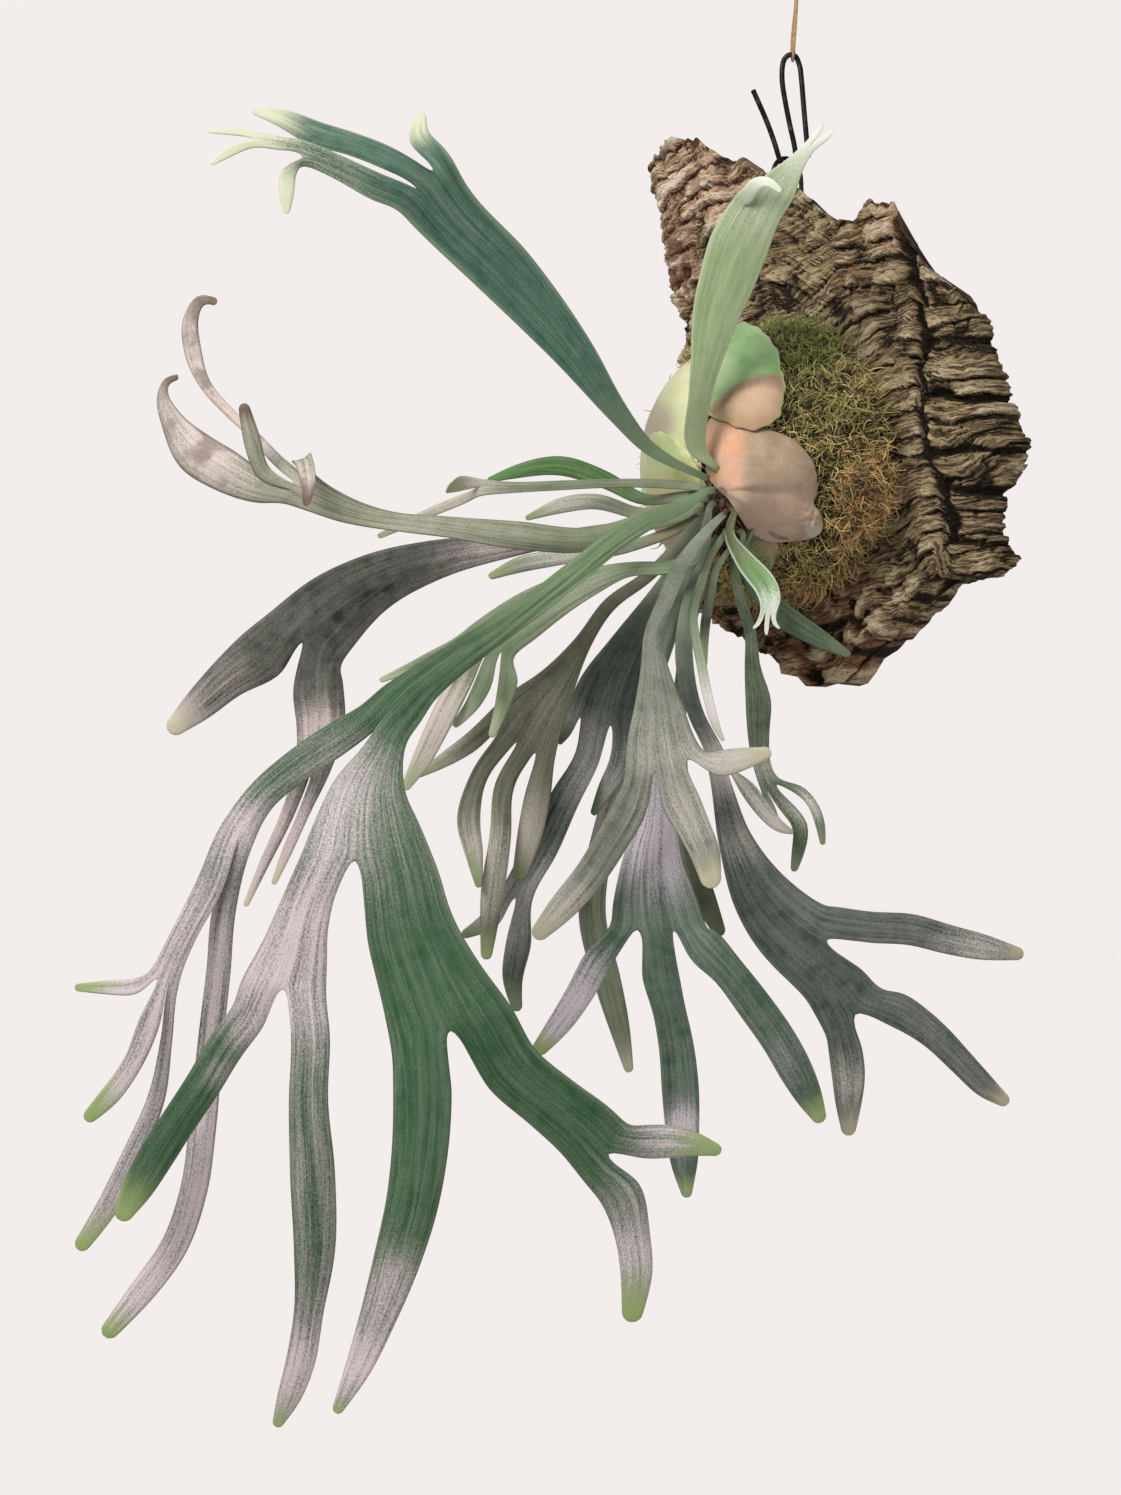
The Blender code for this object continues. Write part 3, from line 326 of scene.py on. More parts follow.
# Leaf finish. Every frond has its own tones, and takes the rest from these.
leafTones = {
    # pale scurf with a painted pinkish sheen on it
    "scurfAndSheen": "d8c9c4",
    "tip": "a0ac78",
    "edge": "74785c",
    "hair": "dfdccb",
    "root": "858c6c",
    "rootLength": 0.045,
    "tipLength": 0.016,
    "edgeAmount": 0.25,
    "hairAmount": 0.16,
    "blotch": "6a5046",
    "blotchAmount": 0.0,
    "roughness": 0.58,
}
leafGrain = {
    "mottle": 34.0,
    "speckle": 1150.0,
    "blotches": 75.0,
    "hairs": 1700.0,
    "lines": 0.06,
    "rootAmount": 0.8,
    # how strongly the pale scurf and its painted sheen cover the green
    "scurfAndSheenAmount": 0.94,
    "speckleSway": 1.5,
    "streakSway": 2.8,
}


def leafColour(tree, tone, place, streaky, mixed, lines):
    # the green from its darker to its lighter streaks, paler at the root, under pale scurf with a painted
    # sheen on it, streaked and speckled
    colour = blendHues(tree, ramp(tree, mixed, 0.34, 0.68), hue(tone["shade"]), hue(tone["light"]))
    colour = blendHues(tree, times(tree, lines, leafGrain["lines"]), colour, hue(tone["hair"]))
    rootAway = compute(tree, "DIVIDE", measure(tree, "along"), tone["rootLength"])
    rootAway = compute(tree, "MULTIPLY_ADD", streaky, 0.5, rootAway)
    nearRoot = times(tree, ramp(tree, rootAway, 1.35, 0.7), leafGrain["rootAmount"])
    colour = blendHues(tree, nearRoot, colour, hue(tone["root"]))
    # pale scurf with a painted sheen over it, broken into streaks and specks
    scurfAndSheen = measure(tree, "scurfAndSheen")
    speckle = grainAt(tree, place, leafGrain["speckle"], 2.0, 0.7)
    sway = times(tree, compute(tree, "SUBTRACT", speckle, 0.5), leafGrain["speckleSway"])
    sway = swayed(tree, sway, mixed, leafGrain["streakSway"])
    scurfAndSheenMix = compute(tree, "MULTIPLY_ADD", sway, compute(tree, "MULTIPLY_ADD", scurfAndSheen, 1.0, 0.3), scurfAndSheen)
    scurfAndSheenMix = times(tree, ramp(tree, scurfAndSheenMix, -0.05, 1.0), leafGrain["scurfAndSheenAmount"])
    colour = blendHues(tree, scurfAndSheenMix, colour, hue(tone["scurfAndSheen"]))
    if tone["blotchAmount"]:
        spotted = ramp(tree, grainAt(tree, place, leafGrain["blotches"], 3.0, 0.6), 0.48, 0.64)
        spotted = times(tree, times(tree, spotted, scurfAndSheenMix), tone["blotchAmount"])
        colour = blendHues(tree, spotted, colour, hue(tone["blotch"]))
    return colour


def leafFinish(name, look):
    tone = dict(leafTones, **look)
    finish, tree, place = newFinish(name)
    streaks = addNode(tree, "Group", {"Vein": measure(tree, "vein"), "Along": measure(tree, "along")},
                      node_tree=veinGroup)
    broad, fine, lines = [streaks.outputs[label] for label in ("Broad", "Fine", "Lines")]
    mottle = grainAt(tree, place, leafGrain["mottle"], 3.0)
    streaky = compute(tree, "ADD", times(tree, broad, 0.6), times(tree, fine, 0.4))
    mixed = compute(tree, "ADD", times(tree, streaky, 0.87), times(tree, mottle, 0.13))
    colour = leafColour(tree, tone, place, streaky, mixed, lines)
    edge = times(tree, ramp(tree, measure(tree, "across"), 0.8, 1.0), tone["edgeAmount"])
    colour = blendHues(tree, edge, colour, hue(tone["edge"]))
    tipAway = compute(tree, "DIVIDE", measure(tree, "tip"), tone["tipLength"])
    tipAway = compute(tree, "ADD", tipAway, compute(tree, "MULTIPLY_ADD", streaky, 2.0, -1.0))
    colour = blendHues(tree, ramp(tree, tipAway, 1.1, 0.1), colour, hue(tone["tip"]))
    fuzz = fuzzed(tree, colour, place, tone["hair"], tone["hairAmount"], leafGrain["hairs"])
    height = compute(tree, "ADD", times(tree, fine, 0.9), times(tree, fuzz.outputs["Height"], 0.6))
    height = compute(tree, "MULTIPLY_ADD", lines, 0.12, height)
    roughness = compute(tree, "MULTIPLY_ADD", mottle, 0.2, tone["roughness"] - 0.1)
    endFinish(tree, fuzz.outputs["Color"], height, 0.4, 0.0006, {
        "Roughness": roughness, "Sheen Weight": 0.06, "Sheen Roughness": 0.5, "Specular IOR Level": 0.3})
    return finish


# A frond is a tree of forks. Its stations are (right, up, near, width, turn) on the drawing plane,
# in mm and degrees. Its spots of pale scurf with a painted sheen are (right, up, reach, strength).
leafMesh = {
    "rowStep": 5.0 * mm,
    "lines": 4,
    "tipRows": (0.3, 0.56, 0.76, 0.9, 0.98),
    "blade": 0.8 * mm,
    "stem": 2.2 * mm,
    "stemFade": 45 * mm,
    "cup": 0.06,
    "ripple": 0.7 * mm,
    "rippleFrom": 0.03,
    "rippleFull": 0.09,
    "waves": (28.0, 40.0, 0.0, 1.4),
    "fineWaves": (90.0, 150.0, 5.0, 0.35),
    "rib": 0.10 * mm,
    "shineFade": 42 * mm,
    "seatWidth": 3.4 * mm,
    "neck": 5.0 * mm,
}
knob = {
    "centre": (7.0, -8.0, -0.5),
    "size": (10.0, 21.0, 13.0),
    "gap": 0.5 * mm,
}


def onTip(unit, lift=0.0):
    # the point of the rhizome tip, grown by lift mm, that lies in a direction from its middle
    offset = [c + (s + lift) * u for c, s, u in zip(knob["centre"], knob["size"], unit)]
    return plane["crown"] + alongAxes(*offset)


def offTip(unit):
    # straight out of the rhizome tip there
    return alongAxes(*[u / s for s, u in zip(knob["size"], unit)]).normalized()


def toward(angle, height):
    # a direction from the middle of the rhizome tip: 0 faces left, a quarter turn the eye
    girth = math.sqrt(1.0 - height * height)
    return -math.cos(angle) * girth, height, math.sin(angle) * girth


def fork(path, *lobes, share=1.0, shine=None):
    # shine is how much pale scurf with a painted sheen a stretch has; without it, a lobe takes after the
    # stretch that carries it
    return {"path": path, "lobes": lobes, "share": share, "shine": shine}


def spread(stretch):
    # where the mesh lines lie across a stretch, -1 to 1, by its lobes' shares
    if not stretch["lobes"]:
        return np.linspace(-1.0, 1.0, leafMesh["lines"] + 1)
    total = sum(lobe["share"] for lobe in stretch["lobes"])
    lines, start = [-1.0], -1.0
    for lobe in stretch["lobes"]:
        width = 2.0 * lobe["share"] / total
        lines.extend(start + (spread(lobe)[1:] + 1.0) * width / 2.0)
        start += width
    return np.array(lines)


def veinPlaces(stretch):
    # one distance across for each mesh line, kept all the way along it
    if not stretch["lobes"]:
        wide = max(station[3] for station in stretch["path"]) * mm
        return list(np.linspace(0.0, wide, leafMesh["lines"] + 1))
    places = [0.0]
    for lobe in stretch["lobes"]:
        start = places[-1]
        places.extend(start + place for place in veinPlaces(lobe)[1:])
    return places


def lengthToTip(stretch):
    points = [Vector(station[:3]) for station in stretch["path"]]
    own = sum((b - a).length for a, b in zip(points, points[1:])) * mm
    if not stretch["lobes"]:
        return own
    onward = [lengthToTip(lobe) + (Vector(lobe["path"][0][:3]) - points[-1]).length * mm
              for lobe in stretch["lobes"]]
    return own + min(onward)


def controlRows(stretch, before):
    centres = [drawn(*station[:3]) for station in stretch["path"]]
    widths = [station[3] * (1.0 - station[2] / plane["eyeDistance"]) * mm for station in stretch["path"]]
    turns = [math.radians(station[4]) if len(station) > 4 else 0.0 for station in stretch["path"]]
    around = ([before] if before else []) + centres
    offset = len(around) - len(centres)
    if stretch["lobes"]:
        around.append(sum((drawn(*lobe["path"][0][:3]) for lobe in stretch["lobes"]), Vector())
                      / len(stretch["lobes"]))
    rows, kept = [], None
    for i, centre in enumerate(centres):
        ahead = around[min(i + offset + 1, len(around) - 1)]
        behind = around[max(i + offset - 1, 0)]
        along = (ahead - behind).normalized()
        flat = nearward.cross(along).normalized()
        if kept and flat.dot(kept) < 0.0:
            flat.negate()
        kept = flat
        side = flat * math.cos(turns[i]) + along.cross(flat) * math.sin(turns[i])
        rows.append(np.array([centre + side * (u * widths[i] / 2.0) for u in spread(stretch)]))
    return rows


def firstRows(stretch, last):
    rows, line = [], 0
    for lobe in stretch["lobes"]:
        count = len(spread(lobe))
        rows.append(controlRows(lobe, Vector(last[line : line + count].mean(axis=0)))[0])
        line += count - 1
    return rows


def joinedRows(rows):
    joined = list(rows[0])
    for row in rows[1:]:
        joined[-1] = (joined[-1] + row[0]) / 2.0
        joined.extend(row[1:])
    return np.array(joined)


def notchSwing(rows, n):
    # lets the lines beside a fork swing out early, so that the notch is round
    across = np.linspace(0.0, 1.0, len(rows[n]))[:, None]
    swing = np.zeros_like(rows[n])
    if n > 0:
        swing += (1.0 - across) ** 2 * (rows[n][0] - rows[n - 1][-1]) / 2.0
    if n < len(rows) - 1:
        swing += across**2 * (rows[n][-1] - rows[n + 1][0]) / 2.0
    return swing


def glide(before, start, end, after, t):
    gapA = max(np.linalg.norm(start - before, axis=1).mean(), 1e-6)
    gapB = max(np.linalg.norm(end - start, axis=1).mean(), 1e-6)
    gapC = max(np.linalg.norm(after - end, axis=1).mean(), 1e-6)
    out = gapB * ((start - before) / gapA * gapB + (end - start) / gapB * gapA) / (gapA + gapB)
    into = gapB * ((end - start) / gapB * gapC + (after - end) / gapC * gapB) / (gapB + gapC)
    t2, t3 = t * t, t * t * t
    ends = (2 * t3 - 3 * t2 + 1) * start + (t3 - 2 * t2 + t) * out
    return ends + (3 * t2 - 2 * t3) * end + (t3 - t2) * into


class Sheet:
    # a leaf being grown row by row: each row is extruded from the one below it
    measures = ("bulge", "along", "tip", "across", "vein", "scurfAndSheen", "rib")

    def __init__(self, spots, length):
        self.work = bmesh.new()
        self.layers = {name: self.work.verts.layers.float.new(name) for name in self.measures}
        self.spots = spots
        self.length = length
        self.shine = 0.0

    def start(self, places, vein):
        row = [self.work.verts.new(place) for place in places]
        for a, b in zip(row, row[1:]):
            self.work.edges.new((a, b))
        self.measure(row, places * 0.0, np.zeros(len(row)), 0.0, self.length, vein)
        return row

    def extend(self, below, places, bulge, across, tip, vein):
        edges = [self.work.edges.get(pair) for pair in zip(below, below[1:])]
        grown = bmesh.ops.extrude_edge_only(self.work, edges=edges)["geom"]
        fresh = {item for item in grown if isinstance(item, bmesh.types.BMVert)}
        row = [next(e.other_vert(v) for e in v.link_edges if e.other_vert(v) in fresh) for v in below]
        gap = sum((Vector(place) - v.co).length for place, v in zip(places, below)) / len(below)
        along = below[len(below) // 2][self.layers["along"]] + gap
        for v, place in zip(row, places):
            v.co = place
        self.measure(row, bulge, across, along, tip, vein)
        return row

    def measure(self, row, bulge, across, along, tip, vein):
        for k, v in enumerate(row):
            right, up = seenAt(v.co)
            # the pale scurf and painted sheen here, from the stretch's shine and the spots
            dull = 1.0 - self.shine
            for spotRight, spotUp, reach, strength in self.spots:
                away = ((right - spotRight) ** 2 + (up - spotUp) ** 2) / (reach * reach)
                dull *= 1.0 - strength * math.exp(-away)
            values = {"bulge": float(np.ravel(bulge)[k if np.size(bulge) == len(row) else 0]), "along": along,
                      "tip": tip, "across": abs(float(across[k])), "vein": vein[k], "scurfAndSheen": 1.0 - dull,
                      "rib": 1.0 if k % 2 else -1.0}
            for name, value in values.items():
                v[self.layers[name]] = value

    def heights(self, row, name):
        return np.array([v[self.layers[name]] for v in row])


def lay(sheet, stretch, row, before, vein, swing):
    first = np.array([v.co for v in row])
    chain = [first] + controlRows(stretch, Vector(first.mean(axis=0)))
    starts = firstRows(stretch, chain[-1])
    ahead = joinedRows(starts) if starts else chain[-1]
    across = spread(stretch)
    dome = 1.0 - across**2
    left = lengthToTip(stretch)
    heldBulge, heldAcross = sheet.heights(row, "bulge"), sheet.heights(row, "across")
    held, shine, laid = sheet.shine, sheet.shine, 0.0
    if stretch["shine"] is not None:
        shine = stretch["shine"]
    for i in range(len(chain) - 1):
        start, end = chain[i], chain[i + 1]
        back = before if i == 0 else chain[i - 1]
        after = chain[i + 2] if i + 2 < len(chain) else ahead
        gap = np.linalg.norm(end - start, axis=1).mean()
        steps = max(2, round(gap / leafMesh["rowStep"]))
        for s in range(1, steps + 1):
            t = s / steps
            places = glide(back, start, end, after, t)
            if i == 0:
                places = places + swing * (math.sqrt(t) - t)
            bulge = dome * np.linalg.norm(places[-1] - places[0])
            sides = np.abs(across)
            if i == 0:
                bulge = heldBulge * (1.0 - t) + bulge * t
                sides = heldAcross * (1.0 - t) + sides * t
            laid += gap / steps
            sheet.shine = held + (shine - held) * smooth(0.0, leafMesh["shineFade"], laid)
            row = sheet.extend(row, places, bulge, sides, left + gap * (1.0 - t), vein)
        if i < len(chain) - 2:
            left -= np.linalg.norm(chain[i + 2] - end, axis=1).mean()
            left = max(left, 0.0)
    if not stretch["lobes"]:
        roundTip(sheet, row, chain[-1].mean(axis=0) - chain[-2].mean(axis=0), sides, vein)
    line = 0
    for n, lobe in enumerate(stretch["lobes"]):
        count = len(spread(lobe))
        part = slice(line, line + count)
        sheet.shine = shine
        lay(sheet, lobe, row[part], chain[-2][part], vein[part], notchSwing(starts, n))
        line += count - 1


def roundTip(sheet, row, along, sides, vein):
    places = np.array([v.co for v in row])
    bulge = sheet.heights(row, "bulge")
    centre = places.mean(axis=0)
    forward = along / np.linalg.norm(along) * np.linalg.norm(places[-1] - places[0]) / 2.0
    for turn in leafMesh["tipRows"]:
        narrow = math.sqrt(1.0 - turn * turn)
        row = sheet.extend(row, centre + (places - centre) * narrow + forward * turn, bulge * narrow, sides,
                           0.0, vein)


def growFrond(name, antler):
    shape, cup = antler["shape"], antler.get("cup", leafMesh["cup"])
    bearing, height = antler["seat"]
    unit = toward(math.radians(bearing), height)
    outward = offTip(unit)
    start = onTip(unit) + outward * knob["gap"]
    along = (drawn(*shape["path"][0][:3]) - start).normalized()
    flat = nearward.cross((along + outward).normalized())
    if flat.length < 0.3:
        flat = upward.cross(outward)
    flat = (flat - outward * flat.dot(outward)).normalized()
    places = np.array([start + flat * (u * leafMesh["seatWidth"] / 2.0) for u in spread(shape)])
    vein = veinPlaces(shape)
    sheet = Sheet(antler["spots"], lengthToTip(shape))
    seatRow = sheet.start(places, vein)
    neck = places + np.array(outward * leafMesh["neck"])
    neckRow = sheet.extend(seatRow, neck, np.zeros(len(vein)), np.zeros(len(vein)), sheet.length, vein)
    lay(sheet, shape, neckRow, places, vein, 0.0)
    work, layers = sheet.work, sheet.layers
    work.normal_update()
    facing = sum(face.normal.dot(nearward) for face in neckRow[0].link_faces)
    if facing < 0.0:
        bmesh.ops.reverse_faces(work, faces=work.faces)
        work.normal_update()
    seed = sum(ord(letter) for letter in name) * 0.37
    moves, weights = [], []
    for v in work.verts:
        along, across, vein = [v[layers[key]] for key in ("along", "across", "vein")]
        wave, fine = [noise.noise(Vector((along * far, vein * wide, seed + shift))) * amount
                      for far, wide, shift, amount in (leafMesh["waves"], leafMesh["fineWaves"])]
        fade = smooth(leafMesh["rippleFrom"], leafMesh["rippleFull"], along)
        lift = cup * v[layers["bulge"]] + fade * leafMesh["ripple"] * (wave + fine)
        moves.append(v.normal * (lift + leafMesh["rib"] * v[layers["rib"]] * fade * (1.0 - across)))
        thick = (leafMesh["stem"] - leafMesh["blade"]) * math.exp(-((along / leafMesh["stemFade"]) ** 2))
        weights.append((leafMesh["blade"] + thick) / leafMesh["stem"])
    for v, move in zip(work.verts, moves):
        v.co += move
    finish = leafFinish("leaf " + name.replace("_", " "), antler["look"])
    piece = meshPiece("leaf_" + name, work, finish, "frond_" + name)
    group = piece.vertex_groups.new(name="thickness")
    for i, weight in enumerate(weights):
        group.add([i], weight, "REPLACE")
    wall = piece.modifiers.new("wall", "SOLIDIFY")
    wall.thickness, wall.offset, wall.vertex_group = leafMesh["stem"], 0.0, group.name
    soften = piece.modifiers.new("soften", "SUBSURF")
    soften.levels = soften.render_levels = 1


upperLeft = {
    "seat": (16, 0.64),
    "look": {"shade": "22483a", "light": "3a6850", "scurfAndSheen": "d6d5b6", "tip": "d3d6b4",
             "tipLength": 0.026, "edge": "9fae84", "edgeAmount": 0.35, "hairAmount": 0.1,
             "root": "6b7a5a", "rootLength": 0.08},
    "spots": ((-238, 172, 30, 0.5),),
    "shape": fork([(-32, 22, 4, 7), (-47, 39, 10, 11), (-68, 68, 16, 20), (-102, 108, 24, 30),
          (-136, 143, 32, 34), (-144, 154, 36, 38)],
        fork([(-147, 178, 24, 11), (-146, 187, 14, 6)], share=0.3, shine=0.4),
        fork([(-163, 167, 38, 12), (-181, 174, 34, 12), (-199, 179, 26, 13), (-216, 187, 22, 9),
              (-228, 190, 20, 4)], share=0.32),
        fork([(-167, 152, 38, 14), (-189, 163, 42, 12), (-204, 169, 46, 13)],
            fork([(-217, 174, 47, 7), (-229, 176, 47, 8)],
                fork([(-239, 180, 46, 4), (-251, 180, 44, 2)]),
                fork([(-240, 171, 48, 6), (-250, 164, 50, 2)]), share=0.6, shine=1.0),
            fork([(-212, 159, 54, 8), (-213, 149, 56, 8), (-213, 141, 56, 4)], share=0.4, shine=0.55),
            share=0.38, shine=0.3)),
}
growFrond("upper_left", upperLeft)

upright = {
    "seat": (58, 0.78),
    "look": {"shade": "7f9062", "light": "a3b583", "scurfAndSheen": "d9dcc4", "tip": "eeeedd",
             "tipLength": 0.03, "edge": "c3cfa5", "edgeAmount": 0.5, "root": "7f8760",
             "rootLength": 0.07},
    "spots": ((20, 145, 25, 0.35), (45, 170, 25, 0.5)),
    "shape": fork([(-6, 18, 8, 8.5), (-6, 49, 12, 12), (-3, 66, 14, 16), (1, 86, 18, 23), (7, 105, 22, 28),
          (14, 125, 27, 30), (22, 141, 31, 26)],
        fork([(33, 152, 33, 19), (41, 163, 36, 10), (49, 173, 38, 6)],
            fork([(57, 177, 39, 3), (60, 180, 39, 1.6)]),
            fork([(53, 180, 39, 3), (55, 184, 39, 1.6)]), share=0.7),
        fork([(18, 149, 37, 8), (22, 154, 42, 7), (28, 155, 45, 5), (33, 151, 45, 3)], share=0.3)),
}
growFrond("upright", upright)

curledLeft = {
    "seat": (36, 0.16),
    "cup": 0.14,
    "look": {"shade": "5a6546", "light": "8f9874", "scurfAndSheen": "e4cdc8", "tip": "6a5442",
             "tipLength": 0.012, "edge": "6a5a48", "edgeAmount": 0.6, "hairAmount": 0.2,
             "blotchAmount": 0.75, "root": "8a9672", "rootLength": 0.08},
    "spots": ((-140, -18, 50, 0.3), (-206, 2, 14, 0.25), (-245, 60, 45, 0.5)),
    "shape": fork([(-30, -13, 12, 7), (-62, -24, 18, 12), (-97, -22, 22, 14), (-132, -18, 24, 12, 25),
          (-166, -14, 26, 12, 30), (-184, -9, 27, 14, 15), (-201, -1, 28, 18), (-208, 3, 28, 22)],
        fork([(-206, 16, 32, 10), (-205, 17, 40, 10), (-203, 11, 47, 9), (-202, 2, 50, 7),
              (-203, -5, 50, 4)], share=0.8, shine=0.8),
        fork([(-219, 17, 20, 6), (-228, 27, 14, 5), (-241, 39, 10, 5), (-254, 54, 8, 6),
              (-260, 71, 6, 9), (-261, 86, 8, 8), (-256, 96, 12, 6), (-249, 95, 17, 4)], shine=0.7),
        fork([(-225, 10, 30, 8), (-230, 25, 34, 9), (-234, 41, 36, 6)], share=0.8),
        fork([(-225, 1, 28, 15), (-243, 10, 28, 22), (-259, 20, 27, 22), (-270, 35, 26, 12),
              (-275, 48, 28, 6), (-273, 55, 32, 4), (-268, 57, 36, 3)], share=1.4, shine=0.6)),
}
growFrond("curled_left", curledLeft)

rolledTip = {
    "seat": (16, 0.4),
    "look": {"shade": "626a4e", "light": "8f9674", "scurfAndSheen": "d6c8ba", "tip": "b0ac88",
             "root": "7d8464"},
    "spots": ((-128, 0, 24, 0.7), (-150, -18, 20, 0.4)),
    "shape": fork([(-14, 3, -2, 4.2), (-30, 4, -6, 4.5), (-52, 4, -8, 4.5), (-77, 3, -8, 5),
          (-102, 2, -8, 6), (-117, 2, -8, 9)],
        fork([(-127, 4, -3, 9, -30), (-131, 2, 3, 7, -60)]),
        fork([(-123, -3, -14, 5), (-140, -10, -18, 5), (-155, -17, -20, 4), (-166, -22, -20, 3)])),
}
growFrond("rolled_tip", rolledTip)

archGreen = {
    "seat": (-4, 0.3),
    "look": {"shade": "2e5520", "light": "5c8a40", "tip": "5f8a48", "hairAmount": 0.1,
             "root": "98a080"},
    "spots": (),
    "shape": fork([(-14, -2, -6, 4.5), (-34, -4, -20, 6), (-54, 6, -31, 9), (-77, 13, -37, 10),
          (-98, 10, -41, 7), (-111, 6, -42, 3)]),
}
growFrond("arch_green", archGreen)

archGrey = {
    "seat": (-4, 0.06),
    "look": {"shade": "6f7a5f", "light": "a0a68c", "root": "98966f"},
    "spots": ((-80, -8, 25, 0.6),),
    "shape": fork([(-14, -8, -8, 4.5), (-36, -11, -16, 6), (-58, -5, -22, 8), (-76, -7, -28, 8),
          (-92, -13, -30, 3)]),
}
growFrond("arch_grey", archGrey)

broadLeft = {
    "seat": (16, -0.06),
    "cup": 0.09,
    "look": {"shade": "252a22", "light": "45483d", "scurfAndSheen": "d9c2c0", "tip": "cbbfa6",
             "tipLength": 0.014, "root": "8b9970", "rootLength": 0.09, "hairAmount": 0.2},
    "spots": ((-110, -30, 26, 0.45), (-262, -112, 14, 0.55), (-196, -121, 15, 0.9),
        (-240, -96, 16, 0.25)),
    "shape": fork([(-12, -11, -1, 4.5), (-30, -16, -8, 6), (-56, -20, -14, 7), (-97, -27, -24, 10),
          (-138, -34, -32, 20), (-170, -46, -37, 30), (-192, -62, -38, 40), (-204, -74, -38, 45)],
        fork([(-224, -80, -40, 28), (-243, -94, -42, 21), (-258, -108, -42, 16),
              (-268, -117, -40, 10)], shine=0.05),
        fork([(-197, -96, -34, 25), (-196, -119, -31, 24), (-199, -135, -30, 19)],
            fork([(-212, -160, -30, 7), (-225, -188, -30, 5), (-233, -206, -30, 3)], shine=0.7),
            fork([(-204, -160, -26, 6), (-214, -183, -24, 5), (-219, -195, -24, 3)], shine=0.85))),
}
growFrond("broad_left", broadLeft)

greatFront = {
    "seat": (58, 0.32),
    "look": {"shade": "1c4824", "light": "336236", "scurfAndSheen": "f2dadf", "tip": "9aae6a",
             "tipLength": 0.027, "hairAmount": 0.09, "root": "7d9268", "rootLength": 0.19},
    "spots": ((-180, -140, 20, 0.3), (-192, -162, 22, 0.35), (-196, -186, 22, 0.35),
        (-236, -172, 20, 0.6), (-204, -212, 22, 0.45), (-232, -270, 11, 0.45), (-243, -292, 10, 0.35),
        (-222, -240, 14, 0.4), (-303, -300, 18, 0.6), (-302, -250, 18, 0.5), (-290, -395, 24, 0.4),
        (-175, -438, 28, 0.8), (-160, -398, 22, 0.45), (-208, -442, 20, 0.5), (-40, -384, 30, 0.6),
        (-20, -328, 22, 0.6)),
    "shape": fork([(-12, -6, 18, 6), (-31, -14, 28, 9), (-49, -25, 38, 11), (-68, -40, 50, 12),
          (-86, -54, 61, 12.5), (-104, -67, 72, 13), (-119, -77, 81, 15), (-133, -87, 89, 17),
          (-147, -98, 96, 21), (-155, -106, 100, 26)],
        fork([(-171, -112, 103, 14), (-187, -123, 104, 17), (-206, -136, 106, 17),
              (-226, -153, 108, 16), (-238, -172, 108, 19)],
            fork([(-251, -196, 108, 14), (-265, -223, 106, 13), (-274, -243, 102, 16)],
                fork([(-287, -247, 100, 8), (-303, -248, 98, 7), (-317, -248, 96, 4)]),
                fork([(-281, -264, 100, 11), (-290, -286, 96, 10), (-303, -304, 92, 10),
                      (-311, -312, 90, 7)]),
                fork([(-273, -274, 94, 6), (-278, -303, 88, 9), (-290, -332, 84, 11),
                      (-304, -360, 80, 11), (-315, -376, 78, 8)]), shine=0.6),
            fork([(-244, -208, 102, 12), (-247, -240, 96, 12.5), (-251, -275, 90, 13),
                  (-255, -318, 84, 14), (-259, -348, 80, 14), (-269, -377, 76, 14),
                  (-286, -401, 72, 13), (-301, -419, 70, 9)], share=0.7, shine=0.6), share=0.8, shine=0.12),
        fork([(-160, -121, 108, 17), (-165, -132, 114, 22), (-171, -147, 121, 36),
              (-173, -166, 129, 53), (-172, -184, 134, 68)],
            fork([(-203, -207, 132, 26), (-210, -234, 129, 36), (-214, -247, 127, 43)],
                fork([(-232, -262, 122, 19), (-243, -277, 118, 19), (-255, -297, 112, 18.5),
                      (-267, -315, 106, 18), (-279, -334, 101, 18), (-289, -351, 98, 15),
                      (-294, -360, 97, 10)], shine=0.03),
                fork([(-201, -274, 128, 20), (-202, -303, 128, 20), (-200, -341, 126, 23),
                      (-199, -380, 122, 21), (-202, -411, 118, 15), (-206, -435, 114, 15),
                      (-213, -456, 110, 11), (-217, -465, 109, 6)], shine=0.24), share=0.68, shine=0.6),
            fork([(-151, -219, 140, 45), (-140, -248, 144, 54), (-131, -268, 146, 64)],
                fork([(-145, -299, 150, 30), (-146, -326, 153, 29), (-150, -355, 154, 27),
                      (-158, -385, 152, 24), (-167, -412, 149, 19), (-178, -440, 145, 13),
                      (-187, -458, 143, 6)]),
                fork([(-100, -289, 142, 31), (-80, -306, 138, 31), (-62, -321, 134, 34),
                      (-54, -330, 132, 36)],
                    fork([(-46, -351, 130, 22), (-40, -372, 126, 18), (-38, -393, 122, 16),
                          (-40, -410, 119, 11)]),
                    fork([(-36, -325, 130, 17), (-22, -325, 128, 17), (-10, -326, 126, 13),
                          (1, -329, 124, 7)])), shine=0.0), share=1.1, shine=0.14)),
}
growFrond("great_front", greatFront)

twistedSage = {
    "seat": (60, 0.04),
    "look": {"shade": "566a48", "light": "8a9a74", "scurfAndSheen": "dccabf", "tip": "b2b892",
             "tipLength": 0.018, "root": "4a5038", "rootLength": 0.05},
    "spots": ((-66, -50, 20, 0.25), (-140, -130, 20, 0.4)),
    "shape": fork([(-3, -20, 18, 6), (-8, -33, 22, 8, 30), (-22, -38, 24, 9, 40), (-42, -39, 24, 9, 30),
          (-58, -44, 22, 13), (-76, -52, 20, 19), (-94, -63, 19, 24), (-110, -75, 18, 27)],
        fork([(-126, -76, 18, 8), (-140, -83, 18, 7), (-153, -89, 17, 5), (-165, -94, 16, 3)], share=0.7),
        fork([(-126, -95, 18, 12), (-137, -117, 17, 12), (-147, -137, 14, 9), (-153, -147, 12, 5)],
            shine=0.65),
        fork([(-115, -97, 18, 9), (-121, -108, 15, 7), (-128, -116, 12, 4)], share=0.7),
        fork([(-102, -94, 18, 10), (-106, -110, 14, 7), (-110, -121, 12, 4)], share=0.9)),
}
growFrond("twisted_sage", twistedSage)

